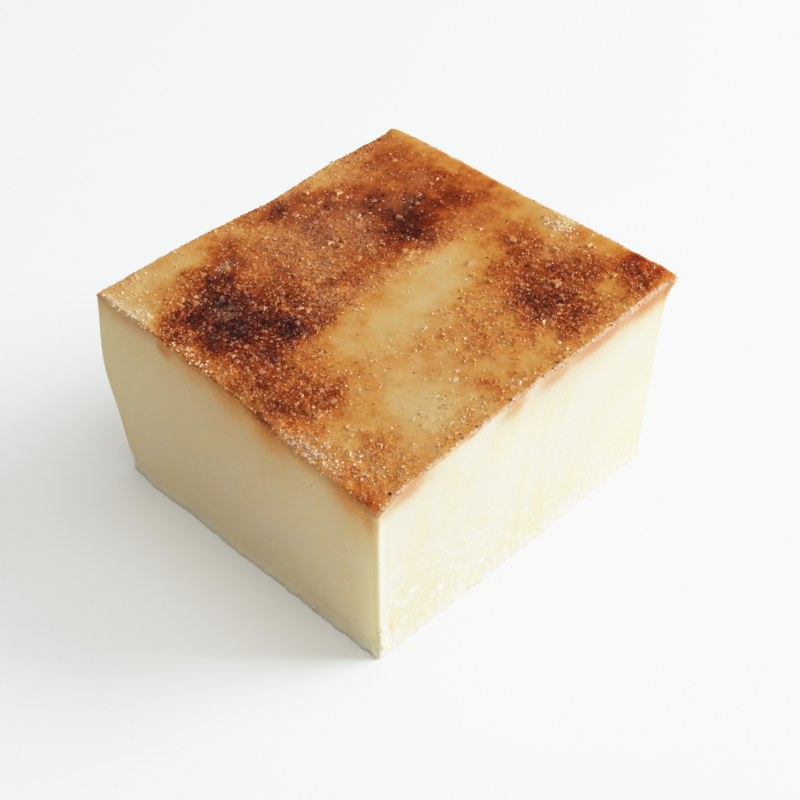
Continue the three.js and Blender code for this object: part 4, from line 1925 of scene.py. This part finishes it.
@dataclass
class Studio:
    """Plain pale floor, soft light from the right and the camera. Lengths are in metres."""

    floor_size: float = 3.0
    floor_colour: str = "f1f3f2"
    floor_roughness: float = 0.6
    lights: tuple[SoftLight, ...] = (
        SoftLight("key", (0.572, -0.357, 0.329), 0.5, 11.5, (0.88, 1.0, 1.0)),
        SoftLight("overhead", (0.014, -0.024, 0.8), 0.9, 5.7, (1.0, 1.0, 1.0)),
    )
    azimuth: float = -45.60
    elevation: float = 40.93
    roll: float = 0.06
    place: tuple[float, float, float] = (-0.10976, -0.10974, 0.14586)
    focal_pixels: float = 1461.0
    picture_pixels: float = 800.0
    sensor: float = 36.0
    nearest: float = 0.01
    surround_light: float = 0.13
    backdrop: float = 0.9
    surround_colour: Colour = (1.0, 0.95, 0.88, 1.0)
    tones: tuple[Span, ...] = (
        (0, 0), (0.05, 0.032), (0.1, 0.073), (0.2, 0.17), (0.3, 0.28), (0.45, 0.455), (0.6, 0.615),
        (0.8, 0.77), (1.0, 0.86), (1.3, 0.92), (1.7, 0.955), (2.6, 1.0),
    )

    def build(self) -> None:
        """Makes the floor, the lights and the camera."""
        self.floor()
        for light in self.lights:
            light.build()
        self.surround()
        self.tone()
        self.camera()

    def floor(self) -> None:
        """The surface that the block stands on."""
        sheet = bmesh.new()
        bmesh.ops.create_grid(sheet, x_segments=1, y_segments=1, size=self.floor_size / 2)
        mesh = bpy.data.meshes.new("floor")
        sheet.to_mesh(mesh)
        sheet.free()
        material, nodes, shader = new_material("pale_floor")
        nodes.feed(shader, {
            "Base Color": screen_colour(self.floor_colour), "Roughness": self.floor_roughness,
        })
        mesh.materials.append(material)
        into_scene("floor", mesh)

    def surround(self) -> None:
        """Even pale light from all round, before a paler backdrop."""
        world = bpy.data.worlds.new("studio")
        world.use_nodes = True
        nodes = NodeSheet(world.node_tree)
        seen = nodes.add("LightPath", {}).outputs["Is Camera Ray"]
        more = self.backdrop - self.surround_light
        strength = nodes.math("MULTIPLY_ADD", seen, more, self.surround_light)
        background = nodes.add("Background", {"Color": self.surround_colour, "Strength": strength})
        nodes.add("OutputWorld", {"Surface": background.outputs[0]})
        bpy.context.scene.world = world

    def tone(self) -> None:
        """The picture's tones, with bright parts held back softly."""
        view = bpy.context.scene.view_settings
        view.view_transform = "Standard"
        view.use_curve_mapping = True
        curve = view.curve_mapping
        brightest = self.tones[-1][0]
        curve.white_level = (brightest,) * 3
        points = curve.curves[3].points
        for before, after in self.tones[1:-1]:
            points.new(before / brightest, after)
        curve.update()

    def camera(self) -> None:
        """The camera at the photographer's place."""
        data = bpy.data.cameras.new("camera")
        data.sensor_width = self.sensor
        data.lens = self.sensor * self.focal_pixels / self.picture_pixels
        data.clip_start = self.nearest
        camera = into_scene("camera", data)
        tilt = math.radians(90 - self.elevation)
        turn = Euler((tilt, 0, math.radians(self.azimuth)), "XYZ").to_matrix()
        camera.rotation_euler = (turn @ Matrix.Rotation(math.radians(self.roll), 3, "Z")).to_euler()
        camera.location = self.place
        bpy.context.scene.camera = camera


def main() -> None:
    """Builds the block, its sugar and the studio, and notes the sizes."""
    logging.basicConfig(level=logging.INFO, format="%(name)s %(message)s")
    shades = CaramelShades().group()
    fudge = FudgeFinish().make(shades)
    crumb = FudgeFinish(name="crumb", cream="f6e8c8", warm="f0dcac", soak_depth=0.02).make(shades)
    block = FudgeBlock(TorchMarks())
    block.build(CrustFinish().make(shades), fudge)
    coarse = SugarGrains(
        "clear_sugar", Ground.UNMELTED, CLEAR_SUGAR, Slot.SUGAR, tries=3400, least=0.34, most=0.62,
        showing=0.3, softness=0.45, browning=-0.12, variety=0.1, seed=15,
    )
    clear = SugarGrains(
        "clear_sugar", Ground.UNMELTED, CLEAR_SUGAR, Slot.SUGAR, tries=60000, least=0.11, most=0.36,
        showing=0.42, softness=0.45, browning=-0.08, variety=0.12, seed=5, rolled=160,
    )
    amber = SugarGrains(
        "amber_sugar", Ground.CARAMEL, AMBER_SUGAR, Slot.SUGAR, tries=20000, least=0.16, most=0.34,
        showing=0.35, softness=0.85, browning=-0.03, variety=0.08, seed=6,
    )
    burnt = SugarGrains(
        "burnt_sugar", Ground.SCORCHED, BURNT_SUGAR, Slot.BURNT_SUGAR, tries=9000, least=0.2, most=0.4,
        showing=0.35, softness=0.7, browning=0.0, variety=0.1, seed=7,
    )
    larger = coarse.scatter(block, np.random.default_rng(coarse.seed))
    clear.build(block, LargeCrystals().batch(block), larger)
    amber.build(block)
    burnt.build(block, DarkSpecks().batch(block))
    RimSugar().build(block)
    FootCrumbs().build(block, crumb)
    Studio().build()


if __name__ == "__main__":
    main()
